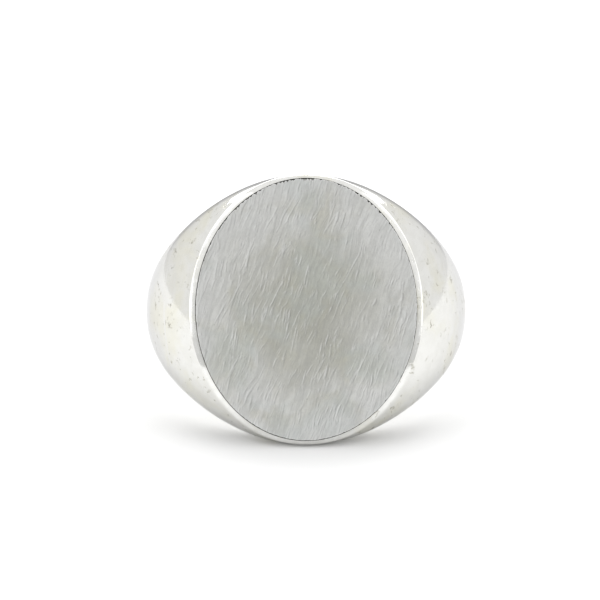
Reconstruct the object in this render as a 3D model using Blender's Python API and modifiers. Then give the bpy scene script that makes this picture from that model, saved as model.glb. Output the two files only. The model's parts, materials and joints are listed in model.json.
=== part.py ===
"""Signet ring: a hollow-headed silver ring, made of the pieces that a bench jeweller solders together.

The ring is drawn in its own frame first: the finger bore runs along Z, the brushed oval faces -Y and X runs
across the face. An empty then lays it down on its side, on the lower end of the head and the back of the shank.
Run it with: blender --background --python part.py
"""
import math

import bmesh
import bpy
import numpy as np
from mathutils import Euler, Vector

MM = 0.001

# Finger bore and shank
BORE_RADIUS = 9.05 * MM
SHANK_HALF_WIDTH = 1.82 * MM
SHANK_WALL = 1.55 * MM          # middle of the shank, at the sides of the finger
BACK_THINNING = 0.20 * MM       # how much thinner the middle is at the back
SHANK_EDGE_WALL = 0.75 * MM     # at the shank's two edges
COMFORT_ROUND = 0.25 * MM       # rounds the edge of the bore

# Head
HEAD_HEIGHT = 2.60 * MM         # finger bore to brushed face
END_LIP = 0.78 * MM             # height of the steep lip at the head's two ends
END_DRAFT = 0.90 * MM           # how much shorter the head is at the finger than at the lip, at each end
FACE_HALF_ACROSS = 7.38 * MM    # outline of the flat top, rim included
FACE_HALF_ALONG = 8.70 * MM
END_LAND = 0.05 * MM            # the head's ends stand this far outside the flat top
TAPER_POWER = 1.78              # how fast the shoulders narrow, as a power of the cosine

# Table, and the pocket it is let into
RIM_WIDTH = 0.22 * MM
TABLE_THICKNESS = 0.90 * MM
TABLE_PROUD = 0.03 * MM         # the brushed top stands this far above the rim
TABLE_EDGE_ROUND = 0.05 * MM

# Hollow under the table, and the lining that closes it on the finger side
TABLE_LEDGE = 2.15 * MM         # width of the ledge that the table sits on
LINING_THICKNESS = 0.75 * MM
LINING_LEDGE = 0.55 * MM        # ledge round the hollow that the lining sits on
VENT_RADIUS = 0.40 * MM

# Solder joints
SOLDER_FILM = 0.08 * MM
SOLDER_GAP = 0.04 * MM          # clearance from a film to the metal on each side of it
HEAD_JOINT_MARGIN = 1.00 * MM   # metal left between the lining's seat and the shoulder joint
SHANK_JOINT_ANGLE = math.radians(102.0)

# Mesh density
HEAD_STEP = math.radians(2.5)
SHOULDER_STEP = math.radians(3.5)
SHANK_STEP = math.radians(5.0)
DOME_STEPS = 8
ROUND_STEPS = 3
OVAL_SIDES = 96
VENT_SIDES = 20

# Sizes that follow from those above
FACE_DISTANCE = BORE_RADIUS + HEAD_HEIGHT
RIM_DISTANCE = FACE_DISTANCE - TABLE_PROUD
HEAD_HALF_WIDTH = FACE_HALF_ALONG + END_LAND
SIDE_RADIUS = BORE_RADIUS + SHANK_WALL
BACK_RADIUS = SIDE_RADIUS - BACK_THINNING
SHANK_EDGE_RADIUS = BORE_RADIUS + SHANK_EDGE_WALL
HEAD_EDGE_RADIUS = FACE_DISTANCE - END_LIP
FACE_ANGLE = math.atan(FACE_HALF_ACROSS / RIM_DISTANCE)
JOINT_DEPTH = SOLDER_FILM + 2.0 * SOLDER_GAP
POCKET_ACROSS = FACE_HALF_ACROSS - RIM_WIDTH
POCKET_ALONG = FACE_HALF_ALONG - RIM_WIDTH
TABLE_ACROSS = POCKET_ACROSS - SOLDER_GAP
TABLE_ALONG = POCKET_ALONG - SOLDER_GAP
POCKET_FLOOR = FACE_DISTANCE - TABLE_THICKNESS - JOINT_DEPTH
HOLLOW_ACROSS = POCKET_ACROSS - TABLE_LEDGE
HOLLOW_ALONG = POCKET_ALONG - TABLE_LEDGE
SEAT_ACROSS = HOLLOW_ACROSS + LINING_LEDGE
SEAT_ALONG = HOLLOW_ALONG + LINING_LEDGE
LINING_RADIUS = BORE_RADIUS + LINING_THICKNESS
SEAT_RADIUS = LINING_RADIUS + JOINT_DEPTH
CUTTER_OVERRUN = 1.0 * MM

# Finishes: colour, roughness
BRUSHED_SILVER = ((0.52, 0.52, 0.50, 1.0), 0.45)
POLISHED_SILVER = ((0.86, 0.85, 0.81, 1.0), 0.14)
LINING_SILVER = ((0.74, 0.73, 0.70, 1.0), 0.25)
SILVER_SOLDER = ((0.70, 0.68, 0.60, 1.0), 0.30)


def clear_scene():
    """Remove whatever the file starts with."""
    for item in list(bpy.data.objects):
        bpy.data.objects.remove(item, do_unlink=True)


def new_collection(name):
    """Add a collection to the scene."""
    collection = bpy.data.collections.new(name)
    bpy.context.scene.collection.children.link(collection)
    return collection


def new_material(name, finish):
    """Make the Principled material of one sub-part."""
    colour, roughness = finish
    material = bpy.data.materials.new(name + "_material")
    material.use_nodes = True
    shader = material.node_tree.nodes["Principled BSDF"]
    shader.inputs["Base Color"].default_value = colour
    shader.inputs["Metallic"].default_value = 1.0
    shader.inputs["Roughness"].default_value = roughness
    material.diffuse_color = colour
    return material


# ---------------------------------------------------------------- the ring's outer form

def half_width(angle):
    """Half of the ring's width along the finger, at an angle round from the face."""
    facing = max(math.cos(angle), 0.0)
    return SHANK_HALF_WIDTH + (HEAD_HALF_WIDTH - SHANK_HALF_WIDTH) * facing ** TAPER_POWER


def edge_radius(angle):
    """Radius at which the domed outside meets the ring's flat end."""
    facing = max(math.cos(angle), 0.0)
    return SHANK_EDGE_RADIUS + (HEAD_EDGE_RADIUS - SHANK_EDGE_RADIUS) * facing


def finger_half_width(angle):
    """Half of the ring's width at the bore: the head's ends draw in towards the finger."""
    facing = max(math.cos(angle), 0.0)
    return half_width(angle) - END_DRAFT * facing ** TAPER_POWER


def face_half_length(angle):
    """Half length of the flat top where the radial plane at this angle crosses it, or zero outside it."""
    across = RIM_DISTANCE * math.tan(min(abs(angle), FACE_ANGLE)) / FACE_HALF_ACROSS
    return FACE_HALF_ALONG * math.sqrt(max(1.0 - across * across, 0.0))


def head_crest(angle):
    """Crest radius over the flat top: the dome that the face plane cuts exactly along the face's outline."""
    edge = edge_radius(angle)
    share = face_half_length(angle) / half_width(angle)
    return edge + (RIM_DISTANCE / math.cos(angle) - edge) / math.sqrt(1.0 - share * share)


def crest_radius(angle):
    """Radius of the domed outside at the middle of its width."""
    turn = abs(angle)
    if turn < FACE_ANGLE:
        return head_crest(turn)
    if math.cos(turn) <= 0.0:
        return SIDE_RADIUS + (BACK_RADIUS - SIDE_RADIUS) * -math.cos(turn)
    # A cubic leaves the head with the head's own slope and meets the shank level.
    nudge = 1.0e-4
    start = RIM_DISTANCE / math.cos(FACE_ANGLE)
    slope = (start - head_crest(FACE_ANGLE - nudge)) / nudge
    span = 0.5 * math.pi - FACE_ANGLE
    u = (turn - FACE_ANGLE) / span
    blend_start = 2.0 * u ** 3 - 3.0 * u ** 2 + 1.0
    blend_slope = u ** 3 - 2.0 * u ** 2 + u
    return blend_start * start + blend_slope * span * slope + (1.0 - blend_start) * SIDE_RADIUS


def ring_section(angle):
    """Closed outline of the ring's metal in the radial plane at an angle, as (radius, z) pairs."""
    width = half_width(angle)
    bore_width = finger_half_width(angle)
    edge = edge_radius(angle)
    crest = crest_radius(angle)
    top_turn = math.asin(face_half_length(angle) / width)
    half = []
    for step in range(ROUND_STEPS + 1):
        turn = 0.5 * math.pi * step / ROUND_STEPS
        radius = BORE_RADIUS + COMFORT_ROUND * (1.0 - math.cos(turn))
        half.append((radius, bore_width - COMFORT_ROUND * (1.0 - math.sin(turn))))
    for step in range(DOME_STEPS + 1):
        turn = 0.5 * math.pi + (top_turn - 0.5 * math.pi) * step / DOME_STEPS
        half.append((edge + (crest - edge) * math.cos(turn), width * math.sin(turn)))
    return half + [(radius, -z) for radius, z in reversed(half)]


def band_section(inner, outer, reach):
    """Outline of a plain band round the finger: a rectangle, as (radius, z) pairs."""
    return [(inner, reach), (outer, reach), (outer, -reach), (inner, -reach)]


# ---------------------------------------------------------------- mesh makers

def stations(start, end, step):
    """Evenly spaced angles from start to end, close to the wanted step."""
    count = max(2, round(abs(end - start) / step) + 1)
    return list(np.linspace(start, end, count))


def new_object(name, mesh, collection):
    """Wrap a mesh in an object of the same name."""
    item = bpy.data.objects.new(name, mesh)
    collection.objects.link(item)
    return item


def lofted_solid(name, angles, section, collection):
    """Loft a closed outline, worked out at each angle, round the bore axis and cap both ends."""
    shape = bmesh.new()
    rings = []
    for angle in angles:
        ring = [shape.verts.new((r * math.sin(angle), -r * math.cos(angle), z)) for r, z in section(angle)]
        rings.append(ring)
    count = len(rings[0])
    for near, far in zip(rings, rings[1:]):
        for i in range(count):
            j = (i + 1) % count
            shape.faces.new((near[i], near[j], far[j], far[i]))
    shape.faces.new(rings[0])
    shape.faces.new(rings[-1])
    bmesh.ops.remove_doubles(shape, verts=shape.verts, dist=1.0e-7)
    bmesh.ops.recalc_face_normals(shape, faces=shape.faces)
    mesh = bpy.data.meshes.new(name)
    shape.to_mesh(mesh)
    shape.free()
    return new_object(name, mesh, collection)


def oval_block(name, across, along, near, far, collection, sides=OVAL_SIDES):
    """Oval prism whose axis is Y, from the distance near to the distance far in front of the bore axis."""
    shape = bmesh.new()
    bmesh.ops.create_cone(shape, cap_ends=True, segments=sides, radius1=1.0, radius2=1.0, depth=1.0)
    bmesh.ops.rotate(shape, verts=shape.verts, matrix=Euler((0.5 * math.pi, 0.0, 0.0)).to_matrix())
    bmesh.ops.scale(shape, verts=shape.verts, vec=(across, far - near, along))
    bmesh.ops.translate(shape, verts=shape.verts, vec=(0.0, -0.5 * (near + far), 0.0))
    bmesh.ops.recalc_face_normals(shape, faces=shape.faces)
    mesh = bpy.data.meshes.new(name)
    shape.to_mesh(mesh)
    shape.free()
    return new_object(name, mesh, collection)


def combine(target, other, operation):
    """Put an exact Boolean on an object."""
    modifier = target.modifiers.new(operation.lower() + "_" + other.name, "BOOLEAN")
    modifier.operation = operation
    modifier.object = other
    modifier.solver = "EXACT"


def mark_cutter(item):
    """Keep a cutter out of the render and show it as wire."""
    item.hide_render = True
    item.display_type = "WIRE"


def finish_part(item, finish, parts):
    """Give a finished sub-part its material and add it to the list of parts."""
    item.data.materials.append(new_material(item.name, finish))
    parts.append(item)


# ---------------------------------------------------------------- head

def head_joint_angle():
    """Angle of the joint between head and shoulder: clear of the lining's seat and of the flat top."""
    seat_depth = math.sqrt(BORE_RADIUS ** 2 - SEAT_ACROSS ** 2)
    seat_angle = math.atan2(SEAT_ACROSS, seat_depth) + HEAD_JOINT_MARGIN / BORE_RADIUS
    face_angle = FACE_ANGLE + HEAD_JOINT_MARGIN / RIM_DISTANCE
    return max(seat_angle, face_angle)


def joint_turn(thickness):
    """Angle that a thickness takes up at the ring's side radius."""
    return thickness / SIDE_RADIUS


def build_head(joint, group, cutters, parts):
    """Head: the ring's front with a pocket for the table, a hollow under it and a seat for the lining."""
    head = lofted_solid("head_wall", stations(-joint, joint, HEAD_STEP), ring_section, group)
    pocket = oval_block("pocket_cutter", POCKET_ACROSS, POCKET_ALONG, POCKET_FLOOR,
                        FACE_DISTANCE + CUTTER_OVERRUN, cutters)
    hollow_end = math.sqrt(BORE_RADIUS ** 2 - SEAT_ACROSS ** 2) - CUTTER_OVERRUN
    hollow = oval_block("hollow_cutter", HOLLOW_ACROSS, HOLLOW_ALONG, hollow_end,
                        POCKET_FLOOR + CUTTER_OVERRUN, cutters)
    seat = lofted_solid("seat_cutter", stations(-joint, joint, HEAD_STEP),
                        lambda angle: band_section(BORE_RADIUS - CUTTER_OVERRUN, SEAT_RADIUS, HEAD_HALF_WIDTH),
                        cutters)
    seat_outline = oval_block("seat_outline_cutter", SEAT_ACROSS, SEAT_ALONG, 0.0, FACE_DISTANCE, cutters)
    combine(seat, seat_outline, "INTERSECT")
    for cutter in (pocket, hollow, seat, seat_outline):
        mark_cutter(cutter)
    for cutter in (pocket, hollow, seat):
        combine(head, cutter, "DIFFERENCE")
    finish_part(head, POLISHED_SILVER, parts)


def build_table(group, parts):
    """Table: the brushed oval plate that is let into the head."""
    table = oval_block("face_plate", TABLE_ACROSS, TABLE_ALONG, FACE_DISTANCE - TABLE_THICKNESS,
                       FACE_DISTANCE, group)
    bevel = table.modifiers.new("edge_round", "BEVEL")
    bevel.width = min(TABLE_EDGE_ROUND, 0.25 * TABLE_THICKNESS)
    bevel.segments = 2
    bevel.limit_method = "ANGLE"
    bevel.angle_limit = math.radians(40.0)
    finish_part(table, BRUSHED_SILVER, parts)


def build_table_seam(group, cutters, parts):
    """Solder under the table: an oval washer on the ledge round the hollow."""
    floor = POCKET_FLOOR + SOLDER_GAP
    seam = oval_block("table_solder_seam", TABLE_ACROSS, TABLE_ALONG, floor, floor + SOLDER_FILM, group)
    opening = oval_block("table_seam_cutter", HOLLOW_ACROSS + SOLDER_GAP, HOLLOW_ALONG + SOLDER_GAP,
                         floor - CUTTER_OVERRUN, floor + CUTTER_OVERRUN, cutters)
    mark_cutter(opening)
    combine(seam, opening, "DIFFERENCE")
    finish_part(seam, SILVER_SOLDER, parts)


def build_lining(joint, group, cutters, parts):
    """Lining: the curved plate that closes the hollow on the finger side, with its vent hole."""
    lining = lofted_solid("finger_lining", stations(-joint, joint, HEAD_STEP),
                          lambda angle: band_section(BORE_RADIUS, LINING_RADIUS, HEAD_HALF_WIDTH), group)
    outline = oval_block("lining_outline_cutter", SEAT_ACROSS - SOLDER_GAP, SEAT_ALONG - SOLDER_GAP, 0.0,
                         FACE_DISTANCE, cutters)
    drill = oval_block("vent_cutter", VENT_RADIUS, VENT_RADIUS, BORE_RADIUS - CUTTER_OVERRUN,
                       SEAT_RADIUS + CUTTER_OVERRUN, cutters, VENT_SIDES)
    for cutter in (outline, drill):
        mark_cutter(cutter)
    combine(lining, outline, "INTERSECT")
    combine(lining, drill, "DIFFERENCE")
    finish_part(lining, LINING_SILVER, parts)


def build_lining_seam(joint, group, cutters, parts):
    """Solder over the lining: a curved oval washer between the lining and its ledge."""
    inner = LINING_RADIUS + SOLDER_GAP
    seam = lofted_solid("lining_solder_seam", stations(-joint, joint, HEAD_STEP),
                        lambda angle: band_section(inner, inner + SOLDER_FILM, HEAD_HALF_WIDTH), group)
    outline = oval_block("lining_seam_outline_cutter", SEAT_ACROSS - SOLDER_GAP, SEAT_ALONG - SOLDER_GAP, 0.0,
                         FACE_DISTANCE, cutters)
    opening = oval_block("lining_seam_opening_cutter", HOLLOW_ACROSS + SOLDER_GAP,
                         HOLLOW_ALONG + SOLDER_GAP, 0.0, FACE_DISTANCE, cutters)
    for cutter in (outline, opening):
        mark_cutter(cutter)
    combine(seam, outline, "INTERSECT")
    combine(seam, opening, "DIFFERENCE")
    finish_part(seam, SILVER_SOLDER, parts)


# ---------------------------------------------------------------- shoulders and shank

def build_side(side, suffix, joint, group, parts):
    """One shoulder and the solder at its two ends. side is -1 for the left and +1 for the right."""
    film = joint_turn(SOLDER_FILM)
    gap = joint_turn(SOLDER_GAP)
    depth = joint_turn(JOINT_DEPTH)
    head_seam = (joint + gap, joint + gap + film)
    shoulder = (joint + depth, SHANK_JOINT_ANGLE)
    shank_seam = (SHANK_JOINT_ANGLE + gap, SHANK_JOINT_ANGLE + gap + film)
    pieces = (("head_solder_seam_" + suffix, head_seam, SILVER_SOLDER),
              ("shoulder_" + suffix, shoulder, POLISHED_SILVER),
              ("shank_solder_seam_" + suffix, shank_seam, SILVER_SOLDER))
    for name, (start, end), finish in pieces:
        angles = [side * angle for angle in stations(start, end, SHOULDER_STEP)]
        finish_part(lofted_solid(name, angles, ring_section, group), finish, parts)


def build_shank(group, parts):
    """Rear shank: the plain D-section bar behind the finger."""
    start = SHANK_JOINT_ANGLE + joint_turn(JOINT_DEPTH)
    angles = stations(start, 2.0 * math.pi - start, SHANK_STEP)
    finish_part(lofted_solid("rear_shank", angles, ring_section, group), POLISHED_SILVER, parts)


# ---------------------------------------------------------------- laying the ring down

def resting_tilt(points):
    """Tilt at which the ring lies on its side: the slope of the lower hull under the bore axis."""
    ordered = sorted({(round(y, 9), round(z, 9)) for _, y, z in points})
    hull = []
    for point in ordered:
        while len(hull) > 1:
            first, second = hull[-2], hull[-1]
            rise = (second[0] - first[0]) * (point[1] - first[1])
            run = (second[1] - first[1]) * (point[0] - first[0])
            if rise - run > 0.0:
                break
            hull.pop()
        hull.append(point)
    for near, far in zip(hull, hull[1:]):
        if near[0] <= 0.0 < far[0]:
            return math.atan2(far[1] - near[1], far[0] - near[0])
    return 0.0


def lay_down(parts, cutters, group):
    """Parent parts and cutters to an empty that lays the ring on z = 0, centred in X and Y."""
    bpy.context.view_layer.update()
    depsgraph = bpy.context.evaluated_depsgraph_get()
    finished = [part.evaluated_get(depsgraph).data for part in parts]
    points = [tuple(vertex.co) for mesh in finished for vertex in mesh.vertices]
    turn = Euler((-resting_tilt(points), 0.0, 0.0))
    laid = np.array([turn.to_matrix() @ Vector(point) for point in points])
    low = laid.min(axis=0)
    high = laid.max(axis=0)
    rest = bpy.data.objects.new("ring_rest", None)
    rest.rotation_euler = turn
    rest.location = (-0.5 * (low[0] + high[0]), -0.5 * (low[1] + high[1]), -low[2])
    group.objects.link(rest)
    for item in parts + list(cutters.objects):
        item.parent = rest


def main():
    """Build the ring."""
    clear_scene()
    group = new_collection("signet_ring")
    cutters = new_collection("cutters")
    parts = []
    joint = head_joint_angle()
    build_head(joint, group, cutters, parts)
    build_table(group, parts)
    build_table_seam(group, cutters, parts)
    build_lining(joint, group, cutters, parts)
    build_lining_seam(joint, group, cutters, parts)
    build_side(-1.0, "left", joint, group, parts)
    build_side(1.0, "right", joint, group, parts)
    build_shank(group, parts)
    lay_down(parts, cutters, group)


main()
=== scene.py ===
"""Looks of a hollow-headed silver signet ring with a brushed oval table.

Every piece is a closed surface worked out with numpy in the ring's own frame, where the finger bore runs
along Z, the brushed table faces -Y and X runs across it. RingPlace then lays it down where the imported
model's table is.
"""

import json
import logging
import math
from dataclasses import dataclass, field
from enum import Enum
from typing import Any, Sequence

import bpy
import numpy as np
from mathutils import Matrix, Quaternion, Vector

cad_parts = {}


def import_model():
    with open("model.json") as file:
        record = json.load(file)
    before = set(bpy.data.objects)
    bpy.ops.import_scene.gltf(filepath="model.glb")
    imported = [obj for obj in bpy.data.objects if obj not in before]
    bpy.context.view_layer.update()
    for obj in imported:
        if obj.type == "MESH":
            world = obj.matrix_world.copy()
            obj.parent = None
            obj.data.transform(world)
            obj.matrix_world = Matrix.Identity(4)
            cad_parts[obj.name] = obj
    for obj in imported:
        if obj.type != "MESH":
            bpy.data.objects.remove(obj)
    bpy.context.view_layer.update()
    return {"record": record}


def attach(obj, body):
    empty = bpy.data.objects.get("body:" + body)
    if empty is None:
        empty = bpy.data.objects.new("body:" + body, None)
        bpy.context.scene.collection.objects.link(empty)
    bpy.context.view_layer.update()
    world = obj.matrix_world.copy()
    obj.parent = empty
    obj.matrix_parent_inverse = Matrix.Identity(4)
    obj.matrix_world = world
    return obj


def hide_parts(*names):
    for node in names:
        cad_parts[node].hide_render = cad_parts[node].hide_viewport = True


LOG = logging.getLogger("signet_ring")
MM = 0.001
QUARTER = 0.5 * math.pi
BODY = "root"
WEAR = "edge_wear"
GRIME = "joint_grime"

Colour = tuple[float, float, float, float]
GRIME_COLOUR: Colour = (0.035, 0.032, 0.028, 1.0)
GRIME_ROUGHNESS = 0.5
EDGE_TINT: Colour = (0.76, 0.76, 0.77, 1.0)


class Side(Enum):
    """The two sides of the ring, as seen from the front of its table."""

    LEFT = -1.0
    RIGHT = 1.0


class Slot(Enum):
    """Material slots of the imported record."""

    BRUSHED = "brushed_silver"
    POLISHED = "polished_silver"
    LINING = "lining_silver"
    SOLDER = "silver_solder"


# ---------------------------------------------------------------- the ring's form

@dataclass(frozen=True)
class RingForm:
    """Sizes of the ring in metres, and the formulas of its outside.

    Angles run round the bore axis from the middle of the table. A tilt of 0 is the crest of the domed
    outside and a tilt of a quarter turn is its edge.
    """

    bore_radius: float = 9.05 * MM
    shank_half_width: float = 1.82 * MM
    shank_wall: float = 1.55 * MM
    back_thinning: float = 0.20 * MM
    shank_edge_wall: float = 0.75 * MM
    comfort_round: float = 0.25 * MM
    head_height: float = 2.60 * MM
    end_lip: float = 0.78 * MM
    end_draft: float = 0.90 * MM
    face_across: float = 7.38 * MM
    face_along: float = 8.70 * MM
    end_land: float = 0.05 * MM
    taper_power: float = 1.78
    rim_width: float = 0.22 * MM
    table_thickness: float = 0.90 * MM
    table_proud: float = 0.03 * MM
    table_ledge: float = 2.15 * MM
    lining_thickness: float = 0.75 * MM
    lining_ledge: float = 0.55 * MM
    vent_radius: float = 0.40 * MM
    joint_depth: float = 0.16 * MM
    joint_margin: float = 1.00 * MM
    shank_joint: float = math.radians(102.0)

    @property
    def face_distance(self) -> float:
        """Bore axis to the brushed top of the table."""
        return self.bore_radius + self.head_height

    @property
    def rim_distance(self) -> float:
        """Bore axis to the plane of the polished rim."""
        return self.face_distance - self.table_proud

    @property
    def face_angle(self) -> float:
        """Angle at which the flat top ends, halfway along the finger."""
        return math.atan(self.face_across / self.rim_distance)

    @property
    def pocket(self) -> np.ndarray:
        """Half sizes (across, along) of the pocket that the table is let into."""
        return np.array([self.face_across, self.face_along]) - self.rim_width

    @property
    def pocket_floor(self) -> float:
        """Bore axis to the floor of the pocket."""
        return self.face_distance - self.table_thickness - self.joint_depth

    @property
    def hollow(self) -> np.ndarray:
        """Half sizes (across, along) of the hollow under the table."""
        return self.pocket - self.table_ledge

    @property
    def seat(self) -> np.ndarray:
        """Half sizes (across, along) of the seat that the lining sits in."""
        return self.hollow + self.lining_ledge

    @property
    def lining_radius(self) -> float:
        """Outer radius of the finger lining."""
        return self.bore_radius + self.lining_thickness

    @property
    def seat_radius(self) -> float:
        """Radius of the ledge that the lining is soldered to."""
        return self.lining_radius + self.joint_depth

    @property
    def side_radius(self) -> float:
        """Crest radius at the sides of the finger."""
        return self.bore_radius + self.shank_wall

    @property
    def head_joint(self) -> float:
        """Angle of the joint between head and shoulder, clear of the lining's seat and of the flat top."""
        seat = math.asin(self.seat[0] / self.bore_radius) + self.joint_margin / self.bore_radius
        return max(seat, self.face_angle + self.joint_margin / self.rim_distance)

    @property
    def joint_turn(self) -> float:
        """Angle that a soldered joint takes up."""
        return self.joint_depth / self.side_radius

    def facing(self, angle: np.ndarray) -> np.ndarray:
        """How squarely an angle faces the front: its cosine, or zero behind the finger."""
        return np.clip(np.cos(angle), 0.0, None)

    def half_width(self, angle: np.ndarray) -> np.ndarray:
        """Half width along the finger: the shank's, plus the head's extra times a power of the cosine."""
        extra = self.face_along + self.end_land - self.shank_half_width
        return self.shank_half_width + extra * self.facing(angle) ** self.taper_power

    def bore_half_width(self, angle: np.ndarray) -> np.ndarray:
        """Half width at the bore: the head's ends draw in towards the finger."""
        return self.half_width(angle) - self.end_draft * self.facing(angle) ** self.taper_power

    def edge_radius(self, angle: np.ndarray) -> np.ndarray:
        """Radius where the domed outside meets the flat end, blended by the cosine from shank to head."""
        shank = self.bore_radius + self.shank_edge_wall
        return shank + (self.face_distance - self.end_lip - shank) * self.facing(angle)

    def head_crest(self, angle: np.ndarray) -> np.ndarray:
        """Crest radius over the flat top, so that the rim plane cuts the dome along the oval face.

        Args:
            angle: angles round the bore axis, within the flat top.

        Returns:
            The radius of the crest at each angle.
        """
        across = self.rim_distance * np.tan(angle) / self.face_across
        length = self.face_along * np.sqrt(np.clip(1.0 - across * across, 0.0, None))
        share = length / self.half_width(angle)
        edge = self.edge_radius(angle)
        return edge + (self.rim_distance / np.cos(angle) - edge) / np.sqrt(1.0 - share * share)

    def crest_radius(self, angle: np.ndarray) -> np.ndarray:
        """Crest radius: the head's, then a cubic that leaves it with its own slope and meets the shank level.

        Args:
            angle: angles round the bore axis.

        Returns:
            The radius of the outside at tilt 0, one for each angle.
        """
        turn = np.abs(angle)
        nudge = 1.0e-4
        start = self.rim_distance / math.cos(self.face_angle)
        slope = (start - float(self.head_crest(np.array(self.face_angle - nudge)))) / nudge
        span = QUARTER - self.face_angle
        u = np.clip((turn - self.face_angle) / span, 0.0, 1.0)
        from_start = 2.0 * u ** 3 - 3.0 * u ** 2 + 1.0
        shoulder = from_start * start + (u ** 3 - 2.0 * u ** 2 + u) * span * slope
        shoulder += (1.0 - from_start) * self.side_radius
        back = self.side_radius - self.back_thinning * np.clip(-np.cos(turn), 0.0, None)
        head = self.head_crest(np.minimum(turn, self.face_angle))
        return np.where(turn < self.face_angle, head, np.where(np.cos(turn) > 0.0, shoulder, back))

    def skin(self, angle: np.ndarray, tilt: np.ndarray) -> np.ndarray:
        """Points of the domed outside: radius edge + (crest - edge) cos(tilt), height width sin(tilt).

        Args:
            angle: angles round the bore axis.
            tilt: tilts, of the same shape.

        Returns:
            Points in the ring's frame, with one more axis of length three.
        """
        edge = self.edge_radius(angle)
        radius = edge + (self.crest_radius(angle) - edge) * np.cos(tilt)
        return polar(radius, angle, self.half_width(angle) * np.sin(tilt))

    def rim_tilt(self, psi: np.ndarray) -> tuple[np.ndarray, np.ndarray]:
        """Angle and tilt of the face's outline at the oval's own angle psi.

        Args:
            psi: angles round the oval, from the right.

        Returns:
            The angle round the bore axis and the tilt at which the skin meets the outline.
        """
        angle = np.arctan2(self.face_across * np.cos(psi), self.rim_distance)
        return angle, np.arcsin(self.face_along * np.sin(psi) / self.half_width(angle))


def polar(radius: np.ndarray, angle: np.ndarray, height: np.ndarray) -> np.ndarray:
    """Points at a radius and an angle round the bore axis: x = r sin a, y = -r cos a, z = height."""
    parts = np.broadcast_arrays(radius * np.sin(angle), -radius * np.cos(angle), height)
    return np.stack(parts, axis=-1)


def oval(half: Sequence[float], psi: np.ndarray, distance: np.ndarray) -> np.ndarray:
    """Points of an oval in front of the bore axis: x = a cos psi, z = b sin psi, y = -distance."""
    parts = np.broadcast_arrays(half[0] * np.cos(psi), -distance, half[1] * np.sin(psi))
    return np.stack(parts, axis=-1)


def oval_on_cylinder(half: Sequence[float], psi: np.ndarray, radius: float) -> np.ndarray:
    """Points of an oval cast along Y on to a cylinder round the bore axis: y = -sqrt(r r - x x)."""
    across = half[0] * np.cos(psi)
    return oval(half, psi, np.sqrt(radius * radius - across * across))


@dataclass(frozen=True)
class RingPlace:
    """Where the ring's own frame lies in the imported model."""

    face_centre: Vector
    outward: Vector
    face_distance: float

    @classmethod
    def from_record(cls, record: dict, form: RingForm) -> "RingPlace":
        """Read the place from the record's table_face mount.

        Args:
            record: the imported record.
            form: the ring's sizes.

        Returns:
            The place of the ring's frame.
        """
        mount = next(m for m in record["mounts"] if m["name"] == "table_face")
        return cls(Vector(mount["pos_m"]), Vector(mount["axis"]).normalized(), form.face_distance)

    @property
    def lean(self) -> float:
        """Angle by which the table looks up."""
        return math.asin(self.outward.z)

    @property
    def bore_centre(self) -> Vector:
        """The middle of the finger bore."""
        return self.face_centre - self.outward * self.face_distance

    def lay(self, points: np.ndarray) -> np.ndarray:
        """Turn points of the ring's frame by the lean about X and move them to the bore's centre.

        Args:
            points: an array whose last axis holds x, y and z.

        Returns:
            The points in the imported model's frame, as rows.
        """
        turn = np.array(Matrix.Rotation(-self.lean, 3, "X"))
        return points.reshape(-1, 3) @ turn.T + np.array(self.bore_centre)


# ---------------------------------------------------------------- closed meshes from grids

def grid_quads(rows: int, columns: int, close_rows: bool = False, close_columns: bool = False) -> np.ndarray:
    """Quads between neighbouring points of a grid numbered row by row.

    Args:
        rows: number of rows.
        columns: number of points in a row.
        close_rows: join the last row to the first.
        close_columns: join each row's last point to its first.

    Returns:
        Vertex numbers, four to a face.
    """
    row = np.arange(rows if close_rows else rows - 1)
    column = np.arange(columns if close_columns else columns - 1)
    here, along = np.meshgrid(row, column, indexing="ij")
    next_row = (here + 1) % rows
    next_column = (along + 1) % columns
    corners = (here * columns + along, here * columns + next_column,
               next_row * columns + next_column, next_row * columns + along)
    return np.stack(corners, axis=-1).reshape(-1, 4)


def signed_volume(points: np.ndarray, faces: Sequence[np.ndarray]) -> float:
    """Volume inside closed faces: the sum of the tetrahedra from the origin to each face's triangles.

    Args:
        points: points as rows.
        faces: arrays of vertex numbers, one array for each number of corners.

    Returns:
        The volume, below zero where the faces point inwards.
    """
    total = 0.0
    for group in faces:
        first = points[group[:, 0]]
        for corner in range(1, group.shape[1] - 1):
            wedge = np.cross(points[group[:, corner]], points[group[:, corner + 1]])
            total += float(np.einsum("ij,ij->i", first, wedge).sum()) / 6.0
    return total


def closed_mesh(name: str, points: np.ndarray, faces: Sequence[np.ndarray], sharp: float) -> bpy.types.Mesh:
    """Make a mesh whose faces point outwards, shaded smooth except across sharp edges.

    Args:
        name: name of the mesh.
        points: points as rows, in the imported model's frame.
        faces: arrays of vertex numbers, one array for each number of corners.
        sharp: angle in radians from which an edge is sharp.

    Returns:
        The mesh.
    """
    if signed_volume(points - points.mean(axis=0), faces) < 0.0:
        faces = [group[:, ::-1] for group in faces]
    corners = np.concatenate([group.ravel() for group in faces])
    counts = np.concatenate([np.full(len(group), group.shape[1]) for group in faces])
    mesh = bpy.data.meshes.new(name)
    mesh.vertices.add(len(points))
    mesh.vertices.foreach_set("co", points.astype(np.float32).ravel())
    mesh.loops.add(len(corners))
    mesh.loops.foreach_set("vertex_index", corners.astype(np.int32))
    mesh.polygons.add(len(counts))
    starts = np.concatenate([[0], np.cumsum(counts)[:-1]])
    mesh.polygons.foreach_set("loop_start", starts.astype(np.int32))
    mesh.polygons.foreach_set("use_smooth", np.ones(len(counts), dtype=bool))
    mesh.update(calc_edges=True)
    mesh.set_sharp_from_angle(angle=sharp)
    return mesh


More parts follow.
